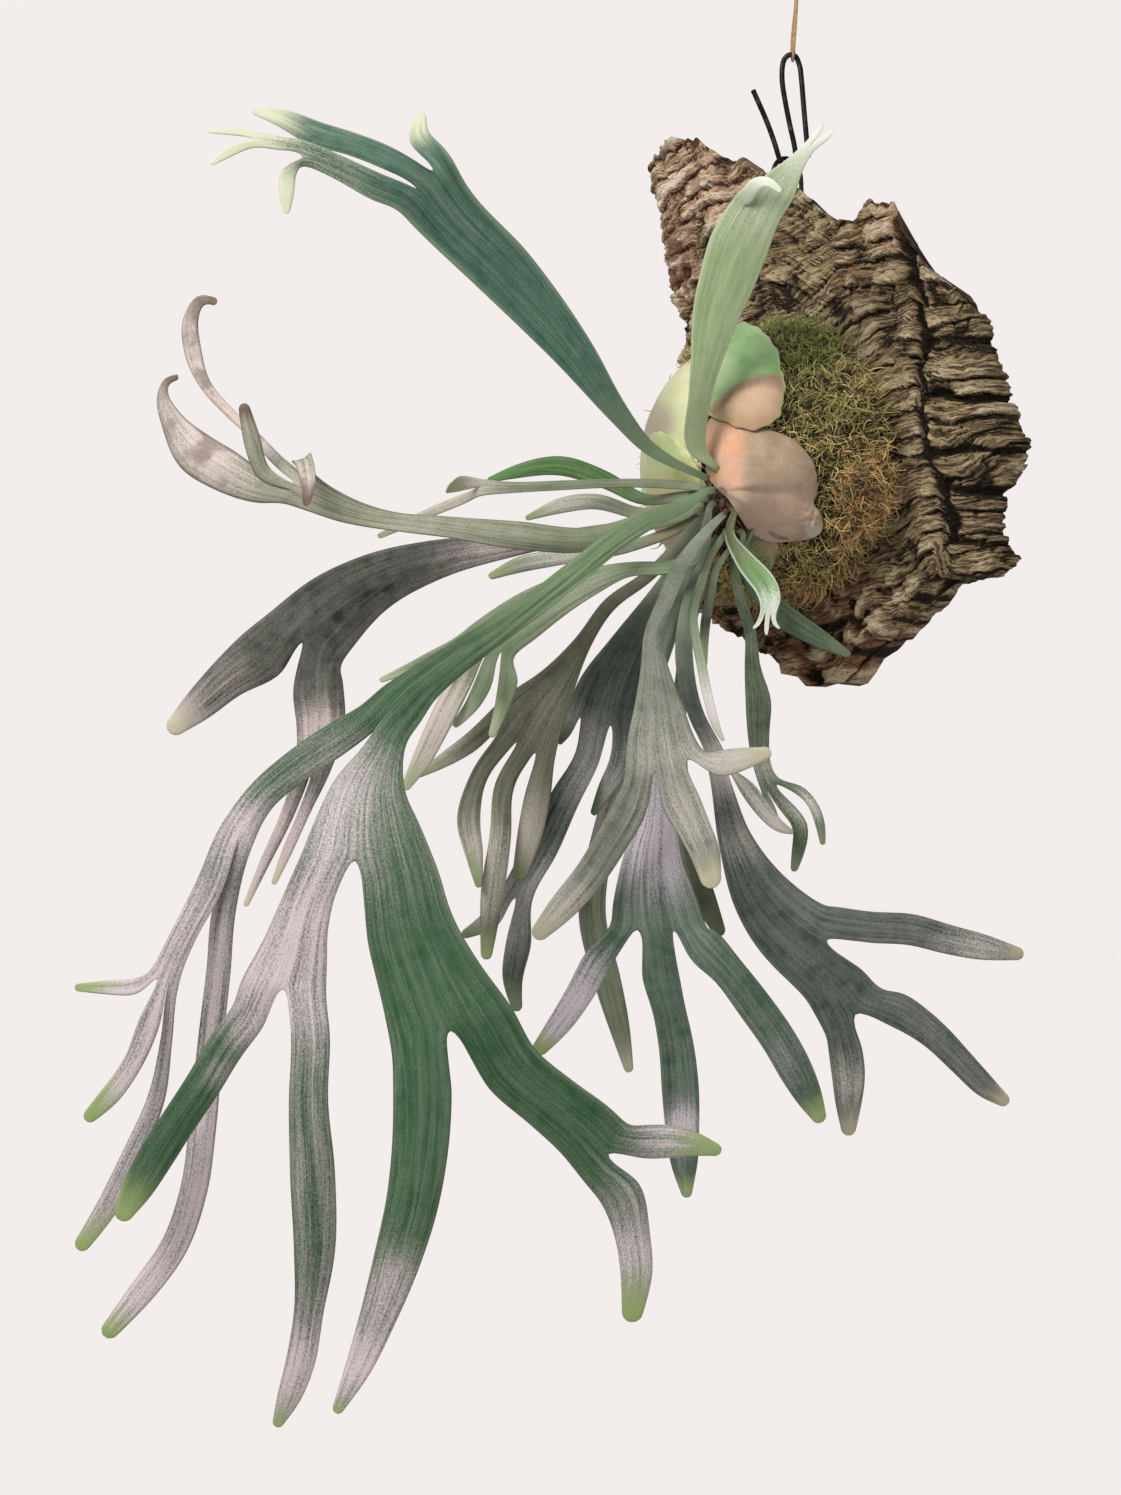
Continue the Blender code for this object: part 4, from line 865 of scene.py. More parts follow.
oliveFan = {
    "seat": (36, -0.26),
    "cup": 0.1,
    "look": {"shade": "484c34", "light": "74745a", "scurfAndSheen": "ccc0b2", "tip": "8d9c68",
             "tipLength": 0.018, "root": "8a8c70"},
    "spots": ((-90, -112, 20, 0.3), (-118, -182, 20, 0.5), (-98, -190, 20, 0.5), (-110, -200, 18, 0.4)),
    "shape": fork([(-17, -27, 6, 5.5), (-33, -43, 5, 6), (-51, -56, 2, 7), (-65, -76, -2, 9),
          (-78, -96, -4, 20), (-90, -112, -5, 34), (-97, -124, -6, 42)],
        fork([(-119, -124, -7, 10), (-132, -133, -10, 8), (-146, -141, -12, 4)], shine=0.55),
        fork([(-117, -143, -7, 9), (-122, -165, -4, 12), (-119, -182, 0, 9), (-117, -196, 1, 4)]),
        fork([(-104, -147, -7, 10), (-106, -172, -4, 11), (-110, -200, -4, 12), (-113, -231, -4, 6)]),
        fork([(-87, -150, -8, 13), (-91, -170, -12, 13), (-96, -190, -14, 8)], shine=0.5)),
}
growFrond("olive_fan", oliveFan)

darkTeal = {
    "seat": (16, -0.42),
    "look": {"shade": "26342a", "light": "46564a", "scurfAndSheen": "c9c2be", "tip": "6a7a58",
             "root": "8b9676", "rootLength": 0.07},
    "spots": ((-76, -122, 18, 0.8), (-54, -148, 20, 0.6), (-92, -196, 22, 0.6), (-112, -218, 20, 0.5)),
    "shape": fork([(-13, -30, -4, 6), (-27, -52, -8, 10), (-42, -78, -14, 20), (-53, -101, -18, 31),
          (-56, -114, -20, 35)],
        fork([(-73, -120, -20, 6), (-76, -125, -20, 3)], share=0.5),
        fork([(-63, -134, -20, 13), (-73, -152, -16, 15), (-85, -177, -18, 17),
              (-98, -202, -18, 17)],
            fork([(-112, -215, -20, 10), (-123, -221, -20, 5)]),
            fork([(-97, -226, -22, 13), (-100, -245, -24, 10), (-98, -257, -25, 6)])),
        fork([(-45, -132, -20, 12), (-54, -150, -26, 8), (-59, -160, -27, 4)], share=0.8)),
}
growFrond("dark_teal", darkTeal)

frontCentre = {
    "seat": (80, -0.22),
    "look": {"shade": "495143", "light": "737869", "scurfAndSheen": "cfc2b6", "tip": "c2b898",
             "tipLength": 0.016, "hairAmount": 0.25, "root": "8d967c"},
    "spots": ((-26, -130, 30, 0.35), (-78, -212, 24, 0.7), (-10, -165, 22, 0.6), (15, -134, 20, 0.7)),
    "shape": fork([(-8, -26, 30, 6), (-17, -40, 38, 9, 20), (-24, -56, 46, 9, 20), (-30, -72, 52, 9),
          (-29, -88, 58, 14), (-27, -108, 64, 25), (-26, -124, 68, 34), (-24, -137, 70, 43)],
        fork([(-40, -155, 68, 17), (-50, -174, 66, 17), (-63, -194, 60, 16), (-76, -209, 56, 14),
              (-86, -220, 54, 9)]),
        fork([(-16, -155, 72, 20), (-9, -169, 73, 17), (-3, -183, 74, 15), (-1, -193, 74, 11)]),
        fork([(4, -136, 74, 14), (14, -134, 76, 12), (26, -131, 78, 7)], share=0.6)),
}
growFrond("front_centre", frontCentre)

lowerCentre = {
    "seat": (36, -0.52),
    "look": {"shade": "29442f", "light": "4a6450", "scurfAndSheen": "dccbd4", "tip": "94a266",
             "tipLength": 0.014, "root": "8f9a80", "rootLength": 0.07},
    "spots": ((-27, -176, 24, 0.85), (-28, -120, 34, 0.6), (-16, -318, 12, 0.9), (40, -285, 22, 0.2)),
    "shape": fork([(-11, -36, 5, 5), (-24, -76, 13, 6), (-28, -106, 22, 8), (-27, -136, 31, 12),
          (-27, -160, 40, 18), (-30, -184, 44, 30), (-29, -204, 46, 42), (-27, -218, 48, 49)],
        fork([(-57, -234, 46, 15), (-67, -252, 43, 14), (-77, -267, 40, 12), (-86, -278, 38, 8)],
            share=0.8, shine=0.75),
        fork([(-26, -242, 48, 19), (-22, -258, 48, 17), (-18, -278, 46, 18), (-16, -300, 44, 19),
              (-15, -320, 42, 17), (-14, -338, 40, 13), (-13, -350, 39, 6)]),
        fork([(-6, -225, 52, 19), (8, -240, 54, 17), (21, -257, 54, 18), (33, -274, 54, 18),
              (43, -292, 52, 17), (50, -306, 50, 12), (53, -312, 49, 8)])),
}
growFrond("lower_centre", lowerCentre)

lowerRight = {
    "seat": (58, -0.7),
    "look": {"shade": "2b3833", "light": "4a544b", "scurfAndSheen": "cfc3b9", "tip": "a89f84",
             "tipLength": 0.012, "root": "7e8a72", "rootLength": 0.09},
    "spots": ((2, -138, 18, 0.8), (12, -176, 14, 0.45), (136, -226, 22, 0.6), (68, -295, 16, 0.45)),
    "shape": fork([(-5, -36, 10, 4.6), (-12, -56, 16, 7), (-14, -86, 24, 9), (-8, -112, 30, 8),
          (0, -128, 34, 9), (4, -140, 38, 12)],
        fork([(12, -176, 42, 18), (24, -201, 44, 30), (42, -221, 46, 40), (53, -229, 46, 47)],
            fork([(63, -250, 44, 33), (70, -260, 43, 36)],
                fork([(66, -277, 40, 17), (68, -292, 38, 17), (68, -307, 37, 13), (68, -318, 36, 8)]),
                fork([(92, -259, 46, 18), (110, -271, 47, 15), (126, -287, 48, 13),
                      (138, -299, 48, 11), (145, -304, 48, 7)], shine=0.1)),
            fork([(80, -218, 48, 16), (99, -219, 50, 16), (118, -224, 52, 15), (136, -228, 54, 13),
                  (152, -231, 56, 7)], share=0.6, shine=0.12)),
        fork([(17, -148, 41, 8), (26, -160, 48, 8), (34, -168, 52, 6), (39, -170, 53, 3)],
            share=0.3, shine=0.85)),
}
growFrond("lower_right", lowerRight)

strapPale = {
    "seat": (86, -0.56),
    "look": {"shade": "7f8f6c", "light": "a8b294", "scurfAndSheen": "efe2de", "tip": "c9c8b0"},
    "spots": ((0, -112, 20, 0.95),),
    "shape": fork([(0, -30, 16, 4), (-5, -44, 23, 4.6), (-10, -62, 34, 5), (-6, -84, 38, 5),
          (-2, -104, 42, 5), (2, -118, 44, 4), (5, -124, 45, 2)]),
}
growFrond("strap_pale", strapPale)

strapDark = {
    "seat": (100, -0.76),
    "look": {"shade": "3a3d2c", "light": "5c6048", "scurfAndSheen": "e0d5ce"},
    "spots": ((-4, -88, 12, 0.9),),
    "shape": fork([(2, -38, 17, 4), (-1, -52, 21, 5), (-4, -70, 25, 5), (-4, -86, 26, 3)]),
}
growFrond("strap_dark", strapDark)

droopingRight = {
    "seat": (122, -0.56),
    "look": {"shade": "24361f", "light": "4a5c3c", "scurfAndSheen": "cbc8b8", "tip": "8a9472",
             "tipLength": 0.012, "root": "6f7a50"},
    "spots": ((25, -138, 10, 0.5), (31, -162, 8, 0.6), (50, -158, 10, 0.7)),
    "shape": fork([(11, -34, 9, 4.6), (14, -54, 13, 5.5), (19, -70, 18, 6), (20, -88, 21, 8),
          (23, -105, 23, 13), (23, -121, 24, 11), (25, -138, 24, 9), (29, -147, 24, 11)],
        fork([(29, -157, 24, 4), (32, -163, 23, 2)], share=0.5),
        fork([(37, -158, 25, 7), (44, -167, 27, 8), (43, -179, 26, 7), (41, -188, 25, 4)]),
        fork([(43, -149, 26, 5), (50, -156, 30, 5), (54, -167, 30, 5), (55, -175, 29, 3)], share=0.6)),
}
growFrond("drooping_right", droopingRight)

youngBright = {
    "seat": (102, -0.08),
    "cup": -0.12,
    "look": {"shade": "4d7a36", "light": "86a868", "scurfAndSheen": "dfe6cf", "tip": "e6e2d2",
             "tipLength": 0.016, "edge": "e0e6d4", "edgeAmount": 0.7, "hairAmount": 0.15,
             "root": "5d5a34"},
    "spots": ((29, -56, 9, 0.9),),
    "shape": fork([(8, -21, 18, 5), (13, -30, 20, 8), (19, -38, 24, 11), (26, -46, 28, 12),
          (29, -54, 30, 11), (28, -60, 30, 8)],
        fork([(23, -66, 30, 2.4), (21, -68, 30, 1.5)]),
        fork([(27, -69, 30, 2.4), (27, -71, 30, 1.5)]),
        fork([(31, -66, 30, 2.4), (33, -68, 30, 1.5)])),
}
growFrond("young_bright", youngBright)

lanceDark = {
    "seat": (146, -0.34),
    "look": {"shade": "2f4a2a", "light": "55684a", "tip": "5c6a48", "hairAmount": 0.12,
             "root": "7f8f60"},
    "spots": (),
    "shape": fork([(12, -36, 4, 5), (22, -50, 8, 7), (34, -61, 10, 12), (46, -69, 12, 11), (58, -76, 12, 8),
          (67, -81, 12, 4)]),
}
growFrond("lance_dark", lanceDark)

innerArch = {
    "seat": (-4, -0.18),
    "look": {"shade": "626f55", "light": "96a083", "scurfAndSheen": "d6cfc4", "root": "a09a74"},
    "spots": ((-75, -32, 22, 0.7),),
    "shape": fork([(-13, -16, -6, 4.5), (-40, -27, -12, 6), (-77, -33, -20, 8), (-98, -37, -22, 8),
          (-110, -42, -22, 4)]),
}
growFrond("inner_arch", innerArch)

behindCentre = {
    "seat": (16, -0.74),
    "look": {"shade": "4a553c", "light": "767c62", "scurfAndSheen": "c4b8ae", "tip": "7f8a62"},
    "spots": ((-16, -140, 30, 0.6),),
    "shape": fork([(-4, -38, 2, 4.5), (-12, -70, 4, 6), (-17, -120, 6, 8), (-16, -155, 10, 11),
          (-11, -184, 12, 12), (-4, -204, 12, 12), (3, -219, 12, 7)]),
}
growFrond("behind_centre", behindCentre)

behindLeft = {
    "seat": (-4, -0.52),
    "look": {"shade": "515c44", "light": "7f8668", "scurfAndSheen": "d0c4ba", "tip": "a8a88c"},
    "spots": ((-52, -165, 26, 0.7),),
    "shape": fork([(-8, -34, -7, 4.5), (-20, -70, -18, 6), (-38, -120, -36, 8), (-54, -170, -44, 12),
          (-60, -214, -44, 14), (-53, -243, -44, 14), (-46, -270, -42, 10), (-42, -288, -40, 5)]),
}
growFrond("behind_left", behindLeft)

print("fronds grown")


# Cork bark.

bark = {
    "front": -20.0,
    "bow": (8.0, 110.0),
    "edgeThickness": 32.0,
    "swell": 18.0,
    "plateHeight": 15.0,
    "bigLayer": 11.5,
    "smallLayer": 3.6,
    "bigLip": 4.4,
    "smallLip": 2.1,
    "splitDepth": 1.8,
    "crackDepth": 4.0,
    "pitDepth": 9.0,
    "columns": 350,
    "frontShare": 0.68,
    "rows": 250,
    "capRows": 5,
    "top": ((-100, -50), (-91, -42), (-78, -42), (-66, -37), (-48, -40), (-36, -50), (-14, -58),
            (0, -65), (22, -77), (38, -88), (50, -98), (58, -99), (64, -90), (74, -86), (81, -89),
            (86, -100), (91, -114), (98, -122), (112, -132), (124, -141), (132, -153), (140, -168)),
    "rearTop": ((-100, -64), (-60, -54), (-20, -66), (0, -74), (20, -92), (61, -116), (85, -126),
                (106, -138), (119, -160), (134, -186)),
    "bottom": ((-94, -268), (-70, -286), (-50, -294), (-34, -303), (-20, -308), (3, -319), (20, -330),
               (32, -336), (43, -333), (52, -322), (66, -313), (80, -304), (93, -294), (101, -284),
               (118, -281), (136, -280)),
    "left": ((-335, -86), (-290, -88), (-250, -82), (-200, -78), (-138, -76), (-118, -84), (-81, -88),
             (-55, -98), (-34, -94)),
    "right": ((-335, 112), (-290, 124), (-272, 138), (-258, 124), (-240, 126), (-214, 138), (-196, 130),
              (-160, 124), (-130, 118), (-34, 108)),
    "fissure": ((-262, 114), (-240, 110), (-222, 102), (-196, 97), (-165, 100), (-130, 94), (-100, 82)),
    "cracks": (-264.0, -219.0, -191.0, -163.0, -238.0),
    "red": ((-76, -105, 34, 0.9), (-60, -285, 42, 0.8), (40, -325, 55, 0.9), (60, -118, 22, 0.6),
            (78, -200, 10, 0.5), (-84, -200, 30, 0.6), (125, -270, 16, 0.5)),
    "pale": ((84, -92, 18, 1.0), (104, -118, 14, 0.6), (-62, -62, 34, 1.0), (-66, -112, 24, 0.7),
             (-20, -74, 20, 0.5), (-80, -160, 22, 0.5)),
    "crumbly": ((-80, -130, 40, 0.9), (50, -310, 45, 1.0), (-50, -290, 40, 0.9), (80, -88, 16, 0.9),
                (20, -100, 22, 0.5)),
}
rootBall = {
    "centre": Vector((0.010, -0.020, -0.220)),
    "size": Vector((0.072, 0.070, 0.072)),
    "seat": -0.0203,
    "margin": 7.0 * mm,
}


def readOff(points, at):
    return float(np.interp(at, [p[0] for p in points], [p[1] for p in points]))


def wrapGrid(columns, rows, place, measures, loose):
    # a grid laid over a form: place(across, up), from 0 to 1 each way, gives a point and then its measures
    work = bmesh.new()
    layers = [work.verts.layers.float.new(name) for name in measures]
    bmesh.ops.create_grid(work, x_segments=columns, y_segments=rows, size=1.0)
    for v in work.verts:
        v.co, *values = place((v.co.x + 1.0) / 2.0, (v.co.y + 1.0) / 2.0)
        for layer, value in zip(layers, values):
            v[layer] = value
    bmesh.ops.remove_doubles(work, verts=work.verts, dist=loose)
    bare = [e for e in work.edges if e.is_boundary]
    if bare:
        bmesh.ops.holes_fill(work, edges=bare)
    bmesh.ops.recalc_face_normals(work, faces=work.faces)
    return work


def zoned(zones, x, z):
    # 0 to 1: how far a spot lies inside soft round zones, each (x, z, reach, strength)
    keep = 1.0
    for zoneX, zoneZ, reach, strength in zones:
        keep *= 1.0 - strength * math.exp(-((x - zoneX) ** 2 + (z - zoneZ) ** 2) / (reach * reach))
    return 1.0 - keep


def barkRelief(x, z):
    # how far the front stands out in mm: stacked plates, columns and the deep fissure
    warp = noise.noise((x * 0.02, z * 0.02, 3.0)) * 9.0
    layer = (z + x * 0.10 + warp) / bark["plateHeight"]
    step = layer - math.floor(layer)
    plates = 3.6 * (step**0.6) * (0.6 + 0.4 * noise.noise((x * 0.05, math.floor(layer) * 7.1, 0.0)))
    column = 8.0 * math.exp(-(((x - 114.0) / 18.0) ** 2)) + 6.0 * math.exp(-(((x + 82.0) / 16.0) ** 2))
    rough = 5.0 * noise.noise((x * 0.035, z * 0.035, 9.0)) + 2.0 * noise.noise((x * 0.11, z * 0.11, 1.0))
    return plates + column + rough - 8.0 * fissureAt(x, z, 3.4)


def fissureAt(x, z, wide):
    # 1 in the middle of the fissure, which wanders and narrows
    wander = 3.5 * noise.noise((0.0, z * 0.06, 44.0)) + 2.0 * noise.noise((0.0, z * 0.2, 45.0))
    wide = wide * (1.0 + 0.5 * noise.noise((0.0, z * 0.1, 46.0)))
    away = (x - readOff(bark["fissure"], z) + wander) / wide
    return math.exp(-away * away) * smooth(-96.0, -122.0, z) * smooth(-272.0, -262.0, z)


def ragged(value, seed, calm):
    # the broken edge of a layer: 0 where it has worn away, 1 where it stands full
    return min(1.0, max(0.0, calm + 1.5 * noise.noise((*value, seed))))


def barkGrain(x, z):
    # the fine layers, like shingles with ragged lips: their height in mm, their tone of painted shade and
    # highlight, which is 1 in a hollow and the fissure, shaded, and -1 on a lip, lit, and the layer
    column = smooth(-4.0, 4.0, x - readOff(bark["fissure"], z))
    rise = (1.0 - column) * 0.26 * x + column * (0.06 * x - 3.5 * math.cos((x - 114.0) / 9.0))
    warp = noise.noise((x * 0.03, z * 0.03, 13.0)) * 6.0 + noise.noise((x * 0.09, z * 0.09, 17.0)) * 2.0
    warp += noise.noise((x * 0.28, z * 0.28, 19.0)) * 1.1
    level = z - rise + warp
    crumbly = zoned(bark["crumbly"], x, z)
    big = level / bark["bigLayer"] + 0.6 * noise.noise((x * 0.02, level * 0.05, 3.0))
    small = level / bark["smallLayer"] + 0.7 * noise.noise((x * 0.05, level * 0.12, 5.0))
    bigStep, smallStep = big - math.floor(big), small - math.floor(small)
    bigLip = ragged((x * 0.07, math.floor(big) * 3.7), 2.0, 0.6)
    smallLip = ragged((x * 0.13, math.floor(small) * 5.3), 8.0, 0.55)
    lips = bark["bigLip"] * (1.0 - bigStep) ** 0.7 * bigLip
    lips += bark["smallLip"] * (1.0 - smallStep) ** 0.8 * smallLip
    lips -= 1.6 * smooth(0.72, 0.95, bigStep) * bigLip
    split = noise.noise((x * 0.09 + math.floor(big) * 0.3, level * 0.012, 31.0))
    lips -= bark["splitDepth"] * math.exp(-((split / 0.03) ** 2)) * smallLip
    rubble = noise.noise((x * 0.1, z * 0.12, 21.0)) * 6.0 + noise.noise((x * 0.27, z * 0.3, 22.0)) * 3.4
    pits = max(0.0, noise.noise((x * 0.1, z * 0.14, 41.0)) - 0.12)
    bands = sum(math.exp(-(((z - at + 5.0 * noise.noise((x * 0.06, at, 1.0))) / 1.9) ** 2))
                for at in bark["cracks"])
    grit = 0.9 * noise.noise((x * 0.7, z * 0.9, 23.0))
    height = lips * (1.0 - 0.8 * crumbly) + rubble * crumbly + grit
    height = height - bark["crackDepth"] * bands * column - bark["pitDepth"] * pits * crumbly
    # painted shade in hollows, cracks and the fissure; painted highlight on the raised lips
    tone = (2.1 * (1.0 - crumbly) - height) / 2.6 + 1.4 * fissureAt(x, z, 3.0)
    return height, max(-1.3, min(1.3, tone)), level


def seatMask(x, z):
    across = (x * mm - rootBall["centre"].x) / (rootBall["size"].x + rootBall["margin"])
    up = (z * mm - rootBall["centre"].z) / (rootBall["size"].z + rootBall["margin"])
    return min(1.0, max(0.0, (math.hypot(across, up) - 1.0) / 0.22))


def barkHeight(x, level, rear):
    top = readOff(bark["top"], x) * (1.0 - rear) + readOff(bark["rearTop"], x) * rear
    return readOff(bark["bottom"], x) * (1.0 - level) + top * level


def barkSide(edge, level):
    x = 0.0
    for again in range(8):
        x = readOff(bark[edge], barkHeight(x, level, 0.5))
    return x


def barkSkin(turn, level, left, right):
    angle = 2.0 * math.pi * turn
    side = -math.copysign(abs(math.cos(angle)) ** 0.6, math.cos(angle))
    depth = -math.copysign(abs(math.sin(angle)) ** 0.8, math.sin(angle))
    rear = (1.0 + depth) / 2.0
    x = (left + right) / 2.0 + side * (right - left) / 2.0
    z = barkHeight(x, level, rear)
    bow, half = bark["bow"]
    thick = bark["edgeThickness"] + bark["swell"] * math.sin(math.pi * level)
    y = bark["front"] + bow * (x / half) ** 2 + rear * thick
    height, tone, layer = barkGrain(x, z)
    if depth < 0.0:
        y -= (barkRelief(x, z) + height - 1.8) * seatMask(x, z) * min(1.0, -depth * 1.3)
    else:
        y += noise.noise((x * 0.03, z * 0.03, 20.0)) * 3.0 * depth - height * 0.3 * depth
    step = (z + noise.noise((0.0, z * 0.04, 5.0)) * 6.0) / bark["plateHeight"]
    broken = noise.noise((0.0, z * 0.09, 51.0)) * 3.0 + noise.noise((0.0, z * 0.3, 52.0)) * 1.8
    x += side**5 * (1.0 - abs(depth)) * (4.0 * (step - math.floor(step)) ** 0.6 + 1.2 * height - 1.8 + broken)
    broken = noise.noise((x * 0.1, 0.0, 53.0)) * 4.0 + noise.noise((x * 0.32, 0.0, 54.0)) * 2.6
    z += broken * (smooth(0.05, 0.0, level) + smooth(0.94, 1.0, level)) * (1.0 - 0.5 * rear)
    return Vector((x, y, z)) * mm, tone, layer * mm


def buildBark():
    caps, rows = bark["capRows"], bark["rows"]
    sides = {}

    def place(across, up):
        row = round(up * (rows + 2 * caps)) - caps
        level = min(1.0, max(0.0, row / rows))
        if level not in sides:
            sides[level] = barkSide("left", level), barkSide("right", level)
        across, share = across % 1.0, bark["frontShare"]
        turn = across / share * 0.5 if across < share else 0.5 + (across - share) / (1.0 - share) * 0.5
        point, tone, layer = barkSkin(turn, level, *sides[level])
        beyond = max(-row, row - rows, 0) / caps
        if beyond:
            other = barkSkin(-turn % 1.0, level, *sides[level])[0]
            middle = (point + other) / 2.0
            middle.z += (noise.noise(middle * 110.0) * 3.0 + noise.noise(middle * 500.0) * 1.2) * mm
            point = point.lerp(middle, 0.9 * beyond)
        x, z = point.x / mm, point.z / mm
        return point, tone, layer, zoned(bark["red"], x, z), zoned(bark["pale"], x, z)

    work = wrapGrid(bark["columns"], rows + 2 * caps, place, ("tone", "layer", "red", "pale"), 1e-6)
    return meshPiece("bark_slab", work, corkFinish(), "cork_bark")


corkLook = {
    "body": ("5a4632", "ac9670"),
    "paleBody": ("b58c72", "e0c2a2"),
    # lip: painted highlight on the raised lips; shadow: painted shade in hollows, cracks and the fissure
    "lip": ("d0bb98", "f6e6cf"),
    "shadow": ("150c06", "4a2c1e"),
    "red": "7c4c34",
    "crumb": "c9b48e",
    "layers": (75.0, 75.0, 800.0),
    "hairlines": (220.0, 220.0, 2300.0),
    "patches": 48.0,
    "crumbs": 1000.0,
}


def corkFinish():
    finish, tree, place = newFinish("cork bark skin")
    tone, layer, red, pale = [measure(tree, label) for label in ("tone", "layer", "red", "pale")]
    apart = addNode(tree, "SeparateXYZ", {0: place})
    along = addNode(tree, "CombineXYZ", {0: apart.outputs[0], 1: apart.outputs[1], 2: layer}).outputs[0]
    layers = grainAt(tree, scaled(tree, along, corkLook["layers"]), 1.0, 4.0, 0.65)
    hairline = grainAt(tree, scaled(tree, along, corkLook["hairlines"]), 1.0, 2.0, 0.6)
    patches = grainAt(tree, place, corkLook["patches"], 4.0, 0.55)
    fine = grainAt(tree, place, corkLook["crumbs"], 3.0, 0.65)
    pale = ramp(tree, swayed(tree, pale, patches, 1.6), 0.15, 0.8)
    banded = ramp(tree, layers, 0.4, 0.6)
    body, paleBody = [blendHues(tree, banded, *map(hue, corkLook[key])) for key in ("body", "paleBody")]
    lip, shadow = [blendHues(tree, pale, *map(hue, corkLook[key])) for key in ("lip", "shadow")]
    colour = blendHues(tree, pale, body, paleBody)
    warm = compute(tree, "ADD", red, compute(tree, "MULTIPLY_ADD", patches, 1.0, -0.62))
    colour = blendHues(tree, times(tree, ramp(tree, warm, 0.1, 0.75), 0.7), colour, hue(corkLook["red"]))
    # painted highlight on the lips and painted shade in the hollows, cracks and fissure, by the relief's tone
    tone = swayed(tree, tone, layers, -1.6)
    colour = blendHues(tree, times(tree, ramp(tree, tone, -0.15, -0.9), 0.85), colour, lip)
    colour = blendHues(tree, times(tree, ramp(tree, tone, 0.1, 0.75), 0.95), colour, shadow)
    colour = blendHues(tree, times(tree, ramp(tree, hairline, 0.47, 0.38), 0.7), colour, shadow)
    colour = blendHues(tree, times(tree, ramp(tree, fine, 0.56, 0.74), 0.25), colour, hue(corkLook["crumb"]))
    height = compute(tree, "MULTIPLY_ADD", hairline, 0.7, layers)
    height = compute(tree, "MULTIPLY_ADD", fine, 0.5, height)
    endFinish(tree, colour, height, 0.8, 0.0014, {"Roughness": 0.92, "Specular IOR Level": 0.2})
    return finish


buildBark()
print("bark done")


# Shields. Their outlines and spots are set out as they are seen, in mm right and up from the crown.
# rim and crest are how far they stand off the root ball in mm, a spot is (right, up, reach, tone).

shieldMesh = {
    "rings": 48,
    "spokes": 190,
    "thickness": 1.0 * mm,
}
shieldRight = {
    "middle": (27, 1), "rim": 3.2, "crest": 8.5, "slot": "shield_tan", "finish": "velvet shield",
    "body": ("9a7c5e", "ad8d6c"), "rimHue": "957a5c", "hair": 0.3, "veins": 1.1,
    "spots": ((27, -14, 26, "b8937a"), (6, 24, 16, "dda077"), (8, 8, 12, "d69c7a"), (30, 2, 9, "b2907a"),
              (53, -19, 7, "bfae98"), (0.5, 6, 5, "b87a35"), (3.2, -1, 3, "5a3a28")),
    "outline": ((3.1, -1.8), (-2.0, 6), (-3.2, 13.4), (-3.4, 25.3), (-1.3, 35.5), (4.7, 37.0),
                (12.3, 33.3), (19.9, 30.6), (29.6, 29.9), (39.4, 26.0), (47, 18.8), (51.3, 10.1),
                (51.9, 0.4), (50.2, -6.1), (54, -12), (54, -20), (47, -23.7), (38.3, -24.8),
                (27.5, -24.8), (17.7, -20.4), (11.2, -12.8), (6.5, -5.2)),
}
shieldUpper = {
    "middle": (19, 53), "rim": 4.4, "crest": 8.0, "scallop": 0.016, "slot": "shield_green",
    "finish": "upper shield", "body": ("6fa05a", "82b06a"), "rimHue": "a9b56a",
    "spots": ((16, 34, 12, "c9a27c"), (6, 60, 12, "9cb87c")),
    "bandHues": ("94714f", "c89f78"),
    "band": ((-4, 36), (3.6, 44.8), (10.1, 50.2), (18.8, 55.1), (27.5, 56.7), (36, 54.6)),
    "outline": ((-2.9, 39.4), (-4.0, 52), (-2.9, 63.2), (2.5, 76.2), (12.8, 83.8), (18.8, 83.3),
                (25.3, 79.5), (29.6, 74.1), (33.0, 68.5), (33.4, 62.5), (35.2, 57.8), (35.8, 51.3),
                (34.4, 43.7), (33.2, 38.0), (28.5, 34.0), (21, 31.0), (12.3, 32.4), (5.0, 35.6)),
}
shieldYoung = {
    "middle": (-19, 9), "rim": 3.4, "crest": 5.0, "scallop": 0.02, "slot": "shield_green",
    "finish": "young shield", "body": ("e0e49a", "cfda8c"), "rimHue": "e4eeb2",
    "spots": ((-26, -4, 20, "d9cb8e"), (-20, -12, 16, "e2bd86"), (-14, 10, 10, "bcc06c")),
    "outline": ((-30, 28), (-25.7, 29.6), (-19.2, 26.4), (-12.6, 19.9), (-8.3, 13.4), (-4, 5.8),
                (-4, -2), (-13.7, -10), (-24.6, -11), (-30.5, -8), (-33.6, 2.5), (-34.2, 12.3),
                (-32.4, 22)),
}
shieldLower = {
    "middle": (23, -30), "rim": 1.6, "crest": 2.6, "slot": "shield_pale",
    "finish": "lower shield", "body": ("6f9450", "86a55c"), "rimHue": "a98a6a",
    "spots": ((31, -27, 9, "b5977b"),),
    "outline": ((10, -18), (16, -16), (27.5, -20), (32.5, -27), (31, -34.3), (28.5, -39), (20, -39),
                (12, -34), (9, -26)),
}

# the old shield behind the fronds is laid out in degrees round the ball, azimuth and height, but its
# spots are as seen
shieldLeft = {
    "middle": (-30, 4), "rim": 1.0, "crest": 2.0, "slot": "shield_pale",
    "finish": "pale shield", "body": ("ece9b6", "dfe0a6"), "rimHue": "dcc49a",
    "spots": ((-20, -20, 20, "cfa882"), (-28, 36, 14, "c9b795")),
    "outline": ((6, -8), (2, 20), (-8, 46), (-44, 54), (-66, 30), (-72, 0), (-60, -32), (-34, -46),
                (-8, -34)),
}


def closedCurve(points, t):
    count = len(points)
    i, f = int(t * count) % count, t * count - int(t * count)
    a, b, c, d = (np.array(points[(i + k) % count], float) for k in (-1, 0, 1, 2))
    return between(a, b, c, d, f)


def insideOutline(outline, right, up):
    inside = False
    for (r1, u1), (r2, u2) in zip(outline, outline[1:] + outline[:1]):
        if (u1 > up) != (u2 > up) and right < r1 + (up - u1) / (u2 - u1) * (r2 - r1):
            inside = not inside
    return inside


# Root ball: a lumpy core under thousands of curled moss strands.

